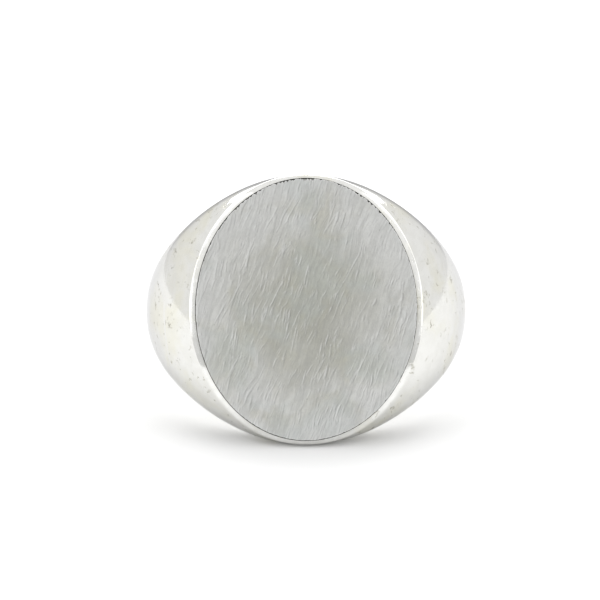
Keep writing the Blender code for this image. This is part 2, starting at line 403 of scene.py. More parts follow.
def add_piece(name: str, mesh: bpy.types.Mesh, material: bpy.types.Material, slot: Slot,
              *nodes: str) -> bpy.types.Object:
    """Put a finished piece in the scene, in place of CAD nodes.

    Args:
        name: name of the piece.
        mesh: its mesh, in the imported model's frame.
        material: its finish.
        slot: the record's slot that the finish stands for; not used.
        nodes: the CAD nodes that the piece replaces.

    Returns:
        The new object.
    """
    mesh.materials.append(material)
    piece = bpy.data.objects.new(name, mesh)
    bpy.context.scene.collection.objects.link(piece)
    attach(piece, BODY)
    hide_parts(*nodes)
    LOG.info("%s: %d faces, stands for %s", name, len(mesh.polygons), ", ".join(nodes))
    return piece


def store_mask(mesh: bpy.types.Mesh, name: str, amount: np.ndarray) -> None:
    """Keep a mask from 0 to 1, one value for each point, as a point attribute."""
    layer = mesh.attributes.new(name, "FLOAT", "POINT")
    layer.data.foreach_set("value", amount.astype(np.float32).ravel())


# ---------------------------------------------------------------- relief of the metal

@dataclass(frozen=True)
class PolishRelief:
    """Hand polishing: broad ripples in the polished skin, as a sum of sine waves in space."""

    seed: int = 11
    waves: int = 26
    shortest: float = 1.6 * MM
    longest: float = 6.0 * MM
    height: float = 0.0022 * MM

    def raise_points(self, points: np.ndarray, outward: np.ndarray) -> np.ndarray:
        """Move points outwards by the sum of sines of their place.

        Args:
            points: points in the ring's frame.
            outward: directions to move in, of the same shape.

        Returns:
            The moved points.
        """
        draw = np.random.default_rng(self.seed)
        total = np.zeros(points.shape[:-1])
        for _ in range(self.waves):
            direction = draw.normal(size=3)
            direction /= np.linalg.norm(direction)
            length = draw.uniform(self.shortest, self.longest)
            phase = draw.uniform(0.0, 2.0 * math.pi)
            total += np.sin(points @ direction * (2.0 * math.pi / length) + phase)
        return points + outward * (self.height * total / math.sqrt(self.waves))[..., None]


@dataclass(frozen=True)
class StrokeRelief:
    """Strokes of a coarse abrasive across the table: long shallow grooves with a raised burr beside them."""

    seed: int = 5
    strokes: int = 1500
    slant: float = math.radians(70.0)
    spread: float = math.radians(5.0)
    shortest: float = 0.35 * MM
    longest: float = 2.6 * MM
    thinnest: float = 0.030 * MM
    widest: float = 0.085 * MM
    shallowest: float = 0.0006 * MM
    deepest: float = 0.0060 * MM
    burr: float = 0.55
    cutoff: float = 3.5

    def depth(self, across: np.ndarray, along: np.ndarray, reach: tuple[float, float]) -> np.ndarray:
        """Depth of the strokes: each is a derivative-like wave across its width, faded out towards its ends.

        Args:
            across: x of the points.
            along: z of the points.
            reach: half sizes of the area that the strokes cover.

        Returns:
            Height of the metal at each point, mostly below zero.
        """
        draw = np.random.default_rng(self.seed)
        height = np.zeros(across.shape)
        for _ in range(self.strokes):
            middle = draw.uniform(-1.0, 1.0, 2) * np.array(reach)
            turn = self.slant + draw.normal() * self.spread
            half = self.shortest + (self.longest - self.shortest) * draw.random() ** 3
            width = draw.uniform(self.thinnest, self.widest)
            depth = self.shallowest + (self.deepest - self.shallowest) * draw.random() ** 4
            dx = across - middle[0]
            dz = along - middle[1]
            lengthways = (dx * math.cos(turn) + dz * math.sin(turn)) / half
            sideways = (dx * math.sin(turn) - dz * math.cos(turn)) / width
            near = (np.abs(lengthways) < 1.0) & (np.abs(sideways) < self.cutoff)
            fade = (1.0 - lengthways[near] ** 2) ** 2
            u = sideways[near]
            height[near] -= depth * fade * (1.0 - self.burr * u) * np.exp(-0.5 * u * u)
        return height


@dataclass(frozen=True)
class RaggedEdge:
    """The table's uneven edge: small bites where strokes run off it, deepest at the top of the table."""

    seed: int = 23
    bites: int = 300
    shallowest: float = 0.004 * MM
    deepest: float = 0.140 * MM
    narrowest: float = 0.022 * MM
    widest: float = 0.050 * MM
    elsewhere: float = 0.12

    def depth(self, psi: np.ndarray, half: np.ndarray) -> np.ndarray:
        """Sum of bell-shaped bites along the outline, shallower away from the top.

        Args:
            psi: angles round the oval.
            half: half sizes of the oval.

        Returns:
            How far the edge stands back at each angle.
        """
        draw = np.random.default_rng(self.seed)
        total = np.zeros(psi.shape)
        for _ in range(self.bites):
            middle = draw.uniform(-math.pi, math.pi)
            width = draw.uniform(self.narrowest, self.widest) / float(half.mean())
            depth = self.shallowest + (self.deepest - self.shallowest) * draw.random()
            share = self.elsewhere + (1.0 - self.elsewhere) * max(math.sin(middle), 0.0) ** 3
            turn = np.angle(np.exp(1j * (psi - middle))) / width
            total += share * depth * np.exp(-0.5 * turn * turn)
        return np.minimum(total, self.deepest)


# ---------------------------------------------------------------- node trees

class Nodes:
    """Short ways to fill one node tree."""

    def __init__(self, tree: bpy.types.NodeTree) -> None:
        """Keep the tree to add nodes to."""
        self.tree = tree

    def add(self, kind: str, **settings: Any) -> bpy.types.Node:
        """Add a node and set its properties.

        Args:
            kind: type name of the node.
            settings: the node's properties by name.

        Returns:
            The node.
        """
        node = self.tree.nodes.new(kind)
        for key, value in settings.items():
            setattr(node, key, value)
        return node

    def put(self, socket: bpy.types.NodeSocket, value: Any) -> None:
        """Link a socket to another, or set its own value.

        Args:
            socket: the input to fill.
            value: a socket to link from, or a value.
        """
        if isinstance(value, bpy.types.NodeSocket):
            self.tree.links.new(value, socket)
        else:
            socket.default_value = value

    def math(self, operation: str, *values: Any, clamp: bool = False) -> bpy.types.NodeSocket:
        """One arithmetic step.

        Args:
            operation: name of the step.
            values: a socket or a number for each input.
            clamp: keep the result between 0 and 1.

        Returns:
            The result.
        """
        node = self.add("ShaderNodeMath", operation=operation, use_clamp=clamp)
        for socket, value in zip(node.inputs, values):
            self.put(socket, value)
        return node.outputs[0]

    def along_plane(self, vector: Any) -> bpy.types.NodeSocket:
        """A vector with its part along Y taken out.

        Args:
            vector: the vector.

        Returns:
            The vector in the table's plane.
        """
        node = self.add("ShaderNodeVectorMath", operation="MULTIPLY")
        self.put(node.inputs[0], vector)
        node.inputs[1].default_value = (1.0, 0.0, 1.0)
        return node.outputs[0]

    def bent(self, vector: Any, scale: float, amount: float) -> bpy.types.NodeSocket:
        """A vector pushed about by a broad coloured noise.

        Args:
            vector: the vector.
            scale: how often the noise repeats.
            amount: how far it pushes.

        Returns:
            The bent vector.
        """
        noise = self.add("ShaderNodeTexNoise")
        self.put(noise.inputs["Vector"], vector)
        noise.inputs["Scale"].default_value = scale
        node = self.add("ShaderNodeVectorMath", operation="MULTIPLY_ADD")
        self.put(node.inputs[0], noise.outputs["Color"])
        node.inputs[1].default_value = (amount, amount, amount)
        self.put(node.inputs[2], vector)
        return node.outputs[0]

    def shifted(self, vector: Any, offset: tuple[float, float, float]) -> bpy.types.NodeSocket:
        """A vector plus a fixed offset.

        Args:
            vector: the vector.
            offset: what is added to it.

        Returns:
            The shifted vector.
        """
        node = self.add("ShaderNodeVectorMath", operation="ADD")
        self.put(node.inputs[0], vector)
        node.inputs[1].default_value = offset
        return node.outputs[0]

    def scaled(self, vector: Any, factor: float) -> bpy.types.NodeSocket:
        """A vector times a number.

        Args:
            vector: the vector.
            factor: what it is multiplied by.

        Returns:
            The scaled vector.
        """
        node = self.add("ShaderNodeVectorMath", operation="SCALE")
        self.put(node.inputs[0], vector)
        node.inputs["Scale"].default_value = factor
        return node.outputs[0]

    def noise(self, vector: Any, scale: Any, detail: float = 2.0, roughness: float = 0.5,
              distortion: float = 0.0) -> bpy.types.NodeSocket:
        """Value of a noise texture, about 0.5 on average.

        Args:
            vector: where the noise is read.
            scale: how often it repeats.
            detail: how many finer layers it has.
            roughness: how strong those are.
            distortion: how far it is twisted.

        Returns:
            The value.
        """
        node = self.add("ShaderNodeTexNoise")
        self.put(node.inputs["Vector"], vector)
        self.put(node.inputs["Scale"], scale)
        node.inputs["Detail"].default_value = detail
        node.inputs["Roughness"].default_value = roughness
        node.inputs["Distortion"].default_value = distortion
        return node.outputs[0]

    def remap(self, value: Any, low: Any, high: Any, to_low: Any = 0.0,
              to_high: Any = 1.0) -> bpy.types.NodeSocket:
        """A value taken smoothly from one range to another.

        Args:
            value: the value.
            low: one end of its range.
            high: the other end of its range.
            to_low: the result at the first end.
            to_high: the result at the other end.

        Returns:
            The result.
        """
        node = self.add("ShaderNodeMapRange", interpolation_type="SMOOTHSTEP")
        for socket, item in zip(node.inputs, (value, low, high, to_low, to_high)):
            self.put(socket, item)
        return node.outputs[0]

    def blend(self, amount: Any, first: Any, second: Any) -> bpy.types.NodeSocket:
        """Two colours blended.

        Args:
            amount: share of the second colour.
            first: the first colour.
            second: the second colour.

        Returns:
            The blended colour.
        """
        node = self.add("ShaderNodeMix", data_type="RGBA", blend_type="MIX")
        self.put(node.inputs[0], amount)
        self.put(node.inputs[6], first)
        self.put(node.inputs[7], second)
        return node.outputs[2]

    def tint(self, mask: Any, share: float, colour: Any, second: Any) -> bpy.types.NodeSocket:
        """A colour blended towards a second one by a share of a mask."""
        return self.blend(self.math("MULTIPLY", mask, share), colour, second)

    def bump(self, height: Any, distance: float, strength: float) -> bpy.types.NodeSocket:
        """A normal bent by a height.

        Args:
            height: height of the surface.
            distance: what a height of 1 stands for, in metres.
            strength: how strongly it shows.

        Returns:
            The normal.
        """
        node = self.add("ShaderNodeBump")
        node.inputs["Strength"].default_value = strength
        node.inputs["Distance"].default_value = distance
        self.put(node.inputs["Height"], height)
        return node.outputs[0]


class Effect:
    """A shared effect: a shader node group with named inputs and one mask, built when it is first used."""

    name: str = ""
    inputs: dict[str, Any] = {}

    @classmethod
    def fill(cls, nodes: Nodes, inputs: dict[str, bpy.types.NodeSocket]) -> bpy.types.NodeSocket:
        """Fill the group's tree and give its mask."""
        raise NotImplementedError

    @classmethod
    def tree(cls) -> bpy.types.NodeTree:
        """The group's tree.

        Returns:
            The shared tree, with a vector input, the effect's own number inputs and a Mask output.
        """
        found = bpy.data.node_groups.get(cls.name)
        if found is not None:
            return found
        tree = bpy.data.node_groups.new(cls.name, "ShaderNodeTree")
        tree.interface.new_socket(name="Vector", in_out="INPUT", socket_type="NodeSocketVector")
        for name, value in cls.inputs.items():
            socket = tree.interface.new_socket(name=name, in_out="INPUT", socket_type="NodeSocketFloat")
            socket.default_value = value
        tree.interface.new_socket(name="Mask", in_out="OUTPUT", socket_type="NodeSocketFloat")
        nodes = Nodes(tree)
        source = nodes.add("NodeGroupInput")
        result = nodes.add("NodeGroupOutput")
        sockets = {socket.name: socket for socket in source.outputs if socket.name}
        tree.links.new(cls.fill(nodes, sockets), result.inputs["Mask"])
        return tree

    @classmethod
    def mask(cls, nodes: Nodes, vector: Any, **values: Any) -> bpy.types.NodeSocket:
        """Place the group in a material.

        Args:
            nodes: the material's nodes.
            vector: place in the ring's frame, in millimetres.
            values: the group's inputs by name, with underscores for spaces.

        Returns:
            The mask.
        """
        node = nodes.add("ShaderNodeGroup", node_tree=cls.tree())
        nodes.put(node.inputs["Vector"], vector)
        for key, value in values.items():
            nodes.put(node.inputs[key.replace("_", " ")], value)
        return node.outputs["Mask"]


@dataclass(frozen=True)
class StreakLook:
    """A set of streaks: how often it repeats across and along them, what part shows, and a turn."""

    across: float
    along: float
    low: float
    high: float
    turn: float = 0.0


@dataclass(frozen=True)
class CloudLook:
    """A set of patches: how often it repeats, what part shows, and a stretch of the place."""

    scale: float
    low: float
    high: float
    stretch: float = 1.0


class Streaks(Effect):
    """Fine parallel lines in the plane of the table: noise squeezed across them and drawn out along them."""

    name = "silver_streaks"
    inputs = {"Turn": 0.0, "Across": 12.0, "Along": 0.8, "Low": 0.35, "High": 0.65}

    @classmethod
    def fill(cls, nodes: Nodes, inputs: dict[str, bpy.types.NodeSocket]) -> bpy.types.NodeSocket:
        """Turn the place about Y, scale it across and along, and read a noise there.

        Args:
            nodes: the group's nodes.
            inputs: the group's input sockets by name.

        Returns:
            The mask.
        """
        turned = nodes.add("ShaderNodeVectorRotate", rotation_type="Y_AXIS")
        nodes.put(turned.inputs["Vector"], inputs["Vector"])
        nodes.put(turned.inputs["Angle"], inputs["Turn"])
        split = nodes.add("ShaderNodeSeparateXYZ")
        nodes.put(split.inputs[0], turned.outputs[0])
        joined = nodes.add("ShaderNodeCombineXYZ")
        nodes.put(joined.inputs[0], nodes.math("MULTIPLY", split.outputs[0], inputs["Along"]))
        nodes.put(joined.inputs[1], nodes.math("MULTIPLY", split.outputs[1], inputs["Across"]))
        nodes.put(joined.inputs[2], nodes.math("MULTIPLY", split.outputs[2], inputs["Across"]))
        value = nodes.noise(joined.outputs[0], 1.0, detail=3.0, roughness=0.6)
        return nodes.remap(value, inputs["Low"], inputs["High"])

    @classmethod
    def lay(cls, nodes: Nodes, vector: Any, look: StreakLook, turn: float) -> bpy.types.NodeSocket:
        """Place the group for one set of streaks that runs at an angle, plus the set's own turn."""
        return cls.mask(nodes, vector, Turn=turn + look.turn, Across=look.across, Along=look.along,
                        Low=look.low, High=look.high)


class Clouds(Effect):
    """Soft uneven patches, such as tarnish and grease."""

    name = "silver_clouds"
    inputs = {"Scale": 0.3, "Low": 0.4, "High": 0.7}

    @classmethod
    def fill(cls, nodes: Nodes, inputs: dict[str, bpy.types.NodeSocket]) -> bpy.types.NodeSocket:
        """Read a broad noise and stretch its contrast."""
        value = nodes.noise(inputs["Vector"], inputs["Scale"], detail=4.0, roughness=0.55, distortion=0.4)
        return nodes.remap(value, inputs["Low"], inputs["High"])

    @classmethod
    def lay(cls, nodes: Nodes, vector: Any, look: CloudLook) -> bpy.types.NodeSocket:
        """Place the group for one set of patches.

        Args:
            nodes: the material's nodes.
            vector: place in the ring's frame, in millimetres.
            look: the set of patches.

        Returns:
            The mask.
        """
        if look.stretch != 1.0:
            vector = nodes.scaled(vector, look.stretch)
        return cls.mask(nodes, vector, Scale=look.scale, Low=look.low, High=look.high)


class Specks(Effect):
    """Scattered pits and dirt specks: the middles of a few cells of a Voronoi pattern."""

    name = "silver_specks"
    inputs = {"Scale": 2.0, "Size": 0.14, "Share": 0.2}

    @classmethod
    def fill(cls, nodes: Nodes, inputs: dict[str, bpy.types.NodeSocket]) -> bpy.types.NodeSocket:
        """Keep a disc in the middle of those cells whose random value is under the share.

        Args:
            nodes: the group's nodes.
            inputs: the group's input sockets by name.

        Returns:
            The mask.
        """
        cells = nodes.add("ShaderNodeTexVoronoi", feature="F1")
        nodes.put(cells.inputs["Vector"], inputs["Vector"])
        nodes.put(cells.inputs["Scale"], inputs["Scale"])
        split = nodes.add("ShaderNodeSeparateColor")
        nodes.put(split.inputs[0], cells.outputs["Color"])
        chosen = nodes.math("LESS_THAN", split.outputs[0], inputs["Share"])
        size = nodes.math("MULTIPLY", inputs["Size"], nodes.math("ADD", split.outputs[1], 0.5))
        disc = nodes.remap(cells.outputs["Distance"], size, nodes.math("MULTIPLY", size, 0.3))
        return nodes.math("MULTIPLY", chosen, disc)


class Hairlines(Effect):
    """Wear scratches: short thin lines in three directions, each cut from drawn-out noise."""

    name = "silver_hairlines"
    inputs = {"Amount": 1.0}
    turns = (0.4, 1.5, 2.5)
    line = StreakLook(9.0, 0.9, 0.66, 0.74)

    @classmethod
    def fill(cls, nodes: Nodes, inputs: dict[str, bpy.types.NodeSocket]) -> bpy.types.NodeSocket:
        """Take the strongest of three sets of streaks that are thinned to lines.

        Args:
            nodes: the group's nodes.
            inputs: the group's input sockets by name.

        Returns:
            The mask.
        """
        total = None
        for turn in cls.turns:
            lines = Streaks.lay(nodes, inputs["Vector"], cls.line, turn)
            total = lines if total is None else nodes.math("MAXIMUM", total, lines)
        return nodes.math("MULTIPLY", total, inputs["Amount"])


class EdgeWear(Effect):
    """Rubbed edges: nearness to an edge, broken up by noise."""

    name = "silver_edge_wear"
    inputs = {"Nearness": 0.0, "Breakup": 0.6}

    @classmethod
    def fill(cls, nodes: Nodes, inputs: dict[str, bpy.types.NodeSocket]) -> bpy.types.NodeSocket:
        """Subtract a share of fine noise from the nearness."""
        rough = nodes.math("MULTIPLY", nodes.noise(inputs["Vector"], 2.2, detail=4.0), inputs["Breakup"])
        return nodes.math("SUBTRACT", inputs["Nearness"], rough, clamp=True)


def ring_vector(nodes: Nodes, place: RingPlace) -> bpy.types.NodeSocket:
    """Place in the ring's frame, in millimetres, from Object coordinates.

    Args:
        nodes: the material's nodes.
        place: where the ring's frame lies.

    Returns:
        A vector socket.
    """
    source = nodes.add("ShaderNodeTexCoord")
    mapping = nodes.add("ShaderNodeMapping", vector_type="TEXTURE")
    mapping.inputs["Location"].default_value = place.bore_centre
    mapping.inputs["Rotation"].default_value = (-place.lean, 0.0, 0.0)
    nodes.put(mapping.inputs["Vector"], source.outputs["Object"])
    return nodes.scaled(mapping.outputs[0], 1.0 / MM)


def stored_mask(nodes: Nodes, name: str) -> bpy.types.NodeSocket:
    """A point attribute's value."""
    return nodes.add("ShaderNodeAttribute", attribute_name=name).outputs["Fac"]


def metal_material(name: str, colour: Any, roughness: Any, normal: Any, tree: bpy.types.NodeTree) -> None:
    """Finish a metal's Principled shader: dimmer at grazing angles, with black grime in the joints.

    Args:
        name: the finish's name, for the log.
        colour: socket or colour for the base colour.
        roughness: socket or number for the roughness.
        normal: socket for the normal.
        tree: the material's tree.
    """
    nodes = Nodes(tree)
    shader = tree.nodes["Principled BSDF"]
    packed = stored_mask(nodes, GRIME)
    colour = nodes.blend(packed, colour, GRIME_COLOUR)
    roughness = nodes.math("ADD", roughness, nodes.math("MULTIPLY", packed, GRIME_ROUGHNESS))
    shader.inputs["Metallic"].default_value = 1.0
    shader.inputs["Specular Tint"].default_value = EDGE_TINT
    nodes.put(shader.inputs["Base Color"], colour)
    nodes.put(shader.inputs["Roughness"], roughness)
    nodes.put(shader.inputs["Normal"], normal)
    LOG.debug("finish %s made", name)


def new_material(name: str) -> bpy.types.Material:
    """An empty node material with its Principled shader.

    Args:
        name: name of the material.

    Returns:
        The material.
    """
    material = bpy.data.materials.new(name)
    material.use_nodes = True
    return material


@dataclass(frozen=True)
class BrushedSilver:
    """Satin silver: short scored lines on a slant with painted shade in each cut and a painted highlight on
    the burr beside it, tarnish, dulling and painted shade in the middle, pits and a rubbed edge that is also
    a painted highlight.
    """

    name: str = "satin_silver"
    # Edge colour of the face: rubbed wear and also a painted highlight along the edges.
    rubbed: Colour = (0.96, 0.96, 0.95, 1.0)
    bare: Colour = (0.85, 0.852, 0.835, 1.0)
    # Darker colour of the face's middle: dulling and painted shade.
    dulled: Colour = (0.55, 0.547, 0.485, 1.0)
    # Dark tint for the streaks, grain and pits; on the cut lines it is painted shade in the cuts.
    dark_line: Colour = (0.30, 0.30, 0.29, 1.0)
    # Lighter than the bare metal: a painted highlight on the burr beside each cut.
    light_line: Colour = (0.97, 0.97, 0.96, 1.0)
    warm_tarnish: Colour = (0.57, 0.55, 0.43, 1.0)
    cool_tarnish: Colour = (0.64, 0.69, 0.68, 1.0)
    slant: float = math.radians(70.0)
    dull_reach: tuple[float, float] = (0.6, 7.8)
    dull_scale: float = 0.35
    raggedness: float = 5.0
    warm: CloudLook = CloudLook(0.30, 0.46, 0.66, 0.9)
    warm_share: float = 0.45
    cool: CloudLook = CloudLook(0.22, 0.46, 0.66, 1.3)
    cool_share: float = 0.40
    worked: CloudLook = CloudLook(0.42, 0.42, 0.60, 1.4)
    worked_share: float = 0.85
    worked_least: float = 0.10
    worked_at_rim: float = 0.7
    waver: tuple[float, float] = (0.4, 0.6)
    burr_offset: tuple[float, float, float] = (0.085, 0.0, -0.03)
    broad: StreakLook = StreakLook(4.0, 0.45, 0.36, 0.64)
    broad_share: float = 0.20
    grain: CloudLook = CloudLook(4.5, 0.36, 0.64)
    grain_share: float = 0.10
    fine: StreakLook = StreakLook(10.0, 0.55, 0.36, 0.64)
    fine_share: float = 0.11
    fine_least: float = 0.4
    # The cut lines carry painted shade, and the burr lines beside them carry a painted highlight.
    cut: StreakLook = StreakLook(8.0, 0.50, 0.52, 0.68, 0.12)
    cut_share: float = 0.46
    burr: StreakLook = StreakLook(8.0, 0.50, 0.53, 0.69, 0.12)
    burr_share: float = 0.50
    long_cut: StreakLook = StreakLook(6.5, 0.25, 0.58, 0.70, -0.10)
    long_share: float = 0.8
    pit_share: float = 0.35
    breakup: float = 0.8
    worn_share: float = 0.5
    satin: float = 0.38
    fine_roughness: float = 0.10
    worn_polish: float = 0.16
    fine_depth: float = 0.4
    cut_depth: float = 0.8
    burr_height: float = 0.5
    bump_height: float = 0.005 * MM
    bump_strength: float = 0.6

    def dull_patch(self, nodes: Nodes, vector: Any) -> bpy.types.NodeSocket:
        """A ragged round patch on the face's middle, where dulling and painted shade darken the face: the
        distance from it plus a noise, faded over its reach.

        Args:
            nodes: the material's nodes.
            vector: place in the ring's frame, in millimetres.

        Returns:
            The mask.
        """
        away = nodes.add("ShaderNodeVectorMath", operation="LENGTH")
        nodes.put(away.inputs[0], nodes.along_plane(vector))
        wobble = nodes.math("MULTIPLY", nodes.noise(vector, self.dull_scale, detail=3.0), self.raggedness)
        ragged = nodes.math("ADD", away.outputs["Value"], wobble)
        ragged = nodes.math("SUBTRACT", ragged, 0.5 * self.raggedness)
        return nodes.remap(ragged, self.dull_reach[1], self.dull_reach[0])

    def worked_mask(self, nodes: Nodes, vector: Any) -> bpy.types.NodeSocket:
        """How much the abrasive worked each place: patches, a least amount, and more beside the rim.

        Args:
            nodes: the material's nodes.
            vector: place in the ring's frame, in millimetres.

        Returns:
            The mask.
        """
        patches = Clouds.lay(nodes, vector, self.worked)
        at_rim = nodes.math("MULTIPLY", stored_mask(nodes, WEAR), self.worked_at_rim)
        worked = nodes.math("ADD", nodes.math("MULTIPLY", patches, self.worked_share), self.worked_least)
        return nodes.math("ADD", worked, at_rim, clamp=True)

    def scores(self, nodes: Nodes, vector: Any, look: StreakLook, worked: Any) -> bpy.types.NodeSocket:
        """Short scored lines where the table was worked, and long ones all over it, whichever is stronger.

        Args:
            nodes: the material's nodes.
            vector: place in the ring's frame, in millimetres.
            look: the short lines.
            worked: how much each place was worked.

        Returns:
            The mask.
        """
        short = nodes.math("MULTIPLY", Streaks.lay(nodes, vector, look, self.slant), worked)
        drawn_out = Streaks.lay(nodes, vector, self.long_cut, self.slant)
        return nodes.math("MAXIMUM", short, nodes.math("MULTIPLY", drawn_out, self.long_share))

    def material(self, place: RingPlace) -> bpy.types.Material:
        """Make the material.

        Args:
            place: where the ring's frame lies.

        Returns:
            The material.
        """
        made = new_material(self.name)
        nodes = Nodes(made.node_tree)
        vector = ring_vector(nodes, place)
        bent = nodes.bent(vector, *self.waver)
        worked = self.worked_mask(nodes, vector)
        broad = Streaks.lay(nodes, bent, self.broad, self.slant)
        grain = Clouds.lay(nodes, vector, self.grain)
        fine = Streaks.lay(nodes, bent, self.fine, self.slant)
        kept = nodes.math("ADD", nodes.math("MULTIPLY", worked, 1.0 - self.fine_least), self.fine_least)
        fine = nodes.math("MULTIPLY", fine, kept)
        cuts_and_shade = self.scores(nodes, bent, self.cut, worked)
        burrs_and_highlights = self.scores(nodes, nodes.shifted(bent, self.burr_offset), self.burr, worked)
        pits = Specks.mask(nodes, vector, Scale=1.5, Size=0.10, Share=0.12)
        worn = EdgeWear.mask(nodes, vector, Nearness=stored_mask(nodes, WEAR), Breakup=self.breakup)
        # The middle of the face is blended to the darker colour: dulling and painted shade.
        colour = nodes.blend(self.dull_patch(nodes, vector), self.bare, self.dulled)
        layers = (
            (Clouds.lay(nodes, vector, self.warm), self.warm_share, self.warm_tarnish),
            (Clouds.lay(nodes, vector, self.cool), self.cool_share, self.cool_tarnish),
            (broad, self.broad_share, self.dark_line),
            (grain, self.grain_share, self.dark_line),
            (fine, self.fine_share, self.dark_line),
            # Painted shade in the cuts and a painted highlight on the burrs beside them.
            (cuts_and_shade, self.cut_share, self.dark_line),
            (burrs_and_highlights, self.burr_share, self.light_line),
            (pits, self.pit_share, self.dark_line),
            # Rubbed edge wear that is also a painted highlight brightening the face towards its edges.
            (worn, self.worn_share, self.rubbed),
        )
        for mask, share, layer in layers:
            colour = nodes.tint(mask, share, colour, layer)
        roughness = nodes.math("ADD", nodes.math("MULTIPLY", fine, self.fine_roughness), self.satin)
        roughness = nodes.math("SUBTRACT", roughness, nodes.math("MULTIPLY", worn, self.worn_polish))
        height = nodes.math("SUBTRACT", nodes.math("MULTIPLY", fine, self.fine_depth),
                            nodes.math("MULTIPLY", cuts_and_shade, self.cut_depth))
        height = nodes.math("ADD", height, nodes.math("MULTIPLY", burrs_and_highlights, self.burr_height))
        normal = nodes.bump(nodes.math("SUBTRACT", height, pits), self.bump_height, self.bump_strength)
        metal_material(self.name, colour, roughness, normal, made.node_tree)
        return made


@dataclass(frozen=True)
class PolishedSilver:
    """Polished silver that has been worn: hairline scratches, haze, tarnish, specks and bright edges."""

    name: str = "polished_silver"
    bare: Colour = (0.712, 0.71, 0.686, 1.0)
    warm_tarnish: Colour = (0.685, 0.667, 0.55, 1.0)
    speck: Colour = (0.35, 0.34, 0.28, 1.0)
    rubbed: Colour = (0.95, 0.95, 0.94, 1.0)
    gloss: float = 0.06
    haze: float = 0.07
    tarnish: float = 0.55
    patches: CloudLook = CloudLook(0.32, 0.44, 0.68)
    hazy: CloudLook = CloudLook(0.8, 0.40, 0.70, 1.3)
    gathered: CloudLook = CloudLook(0.35, 0.38, 0.55, 0.9)
    mottle: CloudLook = CloudLook(1.3, 0.36, 0.64, 1.1)
    mottle_share: float = 0.08
    speck_share: float = 0.42
    speck_fade: tuple[float, float] = (-5.0, 4.0)
    speck_behind: float = 0.22
    speck_scale: float = 2.3
    speck_size: float = 0.38
    speck_strength: float = 0.75
    broad_bend: tuple[float, float] = (2.2, 0.9)
    fine_bend: tuple[float, float] = (6.0, 0.35)
    breakup: float = 0.7
    worn_share: float = 0.9
    line_roughness: float = 0.12
    speck_roughness: float = 0.25
    line_depth: float = 0.5
    bump_height: float = 0.004 * MM
    bump_strength: float = 0.6

    def specks(self, nodes: Nodes, vector: Any) -> bpy.types.NodeSocket:
        """Ragged dirt specks that gather in patches and thin out from the front of the ring to its back.

        Args:
            nodes: the material's nodes.
            vector: place in the ring's frame, in millimetres.

        Returns:
            The mask.
        """
        uneven = nodes.bent(nodes.bent(vector, *self.broad_bend), *self.fine_bend)
        specks = Specks.mask(nodes, uneven, Scale=self.speck_scale, Size=self.speck_size,
                             Share=self.speck_share)
        split = nodes.add("ShaderNodeSeparateXYZ")
        nodes.put(split.inputs[0], vector)
        thinned = nodes.remap(split.outputs[1], *self.speck_fade, 1.0, self.speck_behind)
        gathered = nodes.math("MULTIPLY", specks, Clouds.lay(nodes, vector, self.gathered))
        return nodes.math("MULTIPLY", gathered, thinned)

    def material(self, place: RingPlace) -> bpy.types.Material:
        """Make the material.

        Args:
            place: where the ring's frame lies.

        Returns:
            The material.
        """
        made = new_material(self.name)
        nodes = Nodes(made.node_tree)
        vector = ring_vector(nodes, place)
        haze = Clouds.lay(nodes, vector, self.hazy)
        lines = Hairlines.mask(nodes, vector, Amount=1.0)
        specks = self.specks(nodes, vector)
        worn = EdgeWear.mask(nodes, vector, Nearness=stored_mask(nodes, WEAR), Breakup=self.breakup)
        colour = self.bare
        layers = (
            (Clouds.lay(nodes, vector, self.patches), self.tarnish, self.warm_tarnish),
            (Clouds.lay(nodes, vector, self.mottle), self.mottle_share, self.speck),
            (specks, self.speck_strength, self.speck),
            (worn, self.worn_share, self.rubbed),
        )
        for mask, share, layer in layers:
            colour = nodes.tint(mask, share, colour, layer)
        roughness = nodes.math("ADD", nodes.math("MULTIPLY", haze, self.haze), self.gloss)
        roughness = nodes.math("ADD", roughness, nodes.math("MULTIPLY", lines, self.line_roughness))
        roughness = nodes.math("ADD", roughness, nodes.math("MULTIPLY", specks, self.speck_roughness))
        height = nodes.math("ADD", nodes.math("MULTIPLY", lines, self.line_depth), specks)
        normal = nodes.bump(nodes.math("SUBTRACT", 1.0, height), self.bump_height, self.bump_strength)
        metal_material(self.name, colour, roughness, normal, made.node_tree)
        return made


@dataclass(frozen=True)
class Solder:
    """Silver solder filed flush: a little yellower and duller than the metal beside it, with pores."""

    name: str = "silver_solder"
    bare: Colour = (0.705, 0.70, 0.67, 1.0)
    pore: Colour = (0.55, 0.52, 0.44, 1.0)
    pore_share: float = 0.35
    cloud: CloudLook = CloudLook(1.2, 0.4, 0.7)
    cloud_roughness: float = 0.08
    gloss: float = 0.12
    bump_height: float = 0.003 * MM
    bump_strength: float = 0.5

    def material(self, place: RingPlace) -> bpy.types.Material:
        """Make the material.

        Args:
            place: where the ring's frame lies.

        Returns:
            The material.
        """
        made = new_material(self.name)
        nodes = Nodes(made.node_tree)
        vector = ring_vector(nodes, place)
        pores = Specks.mask(nodes, vector, Scale=5.0, Size=0.14, Share=0.08)
        cloud = Clouds.lay(nodes, vector, self.cloud)
        colour = nodes.tint(pores, self.pore_share, self.bare, self.pore)
        roughness = nodes.math("ADD", nodes.math("MULTIPLY", cloud, self.cloud_roughness), self.gloss)
        normal = nodes.bump(nodes.math("SUBTRACT", 1.0, pores), self.bump_height, self.bump_strength)
        metal_material(self.name, colour, roughness, normal, made.node_tree)
        return made


# ---------------------------------------------------------------- pieces of the ring

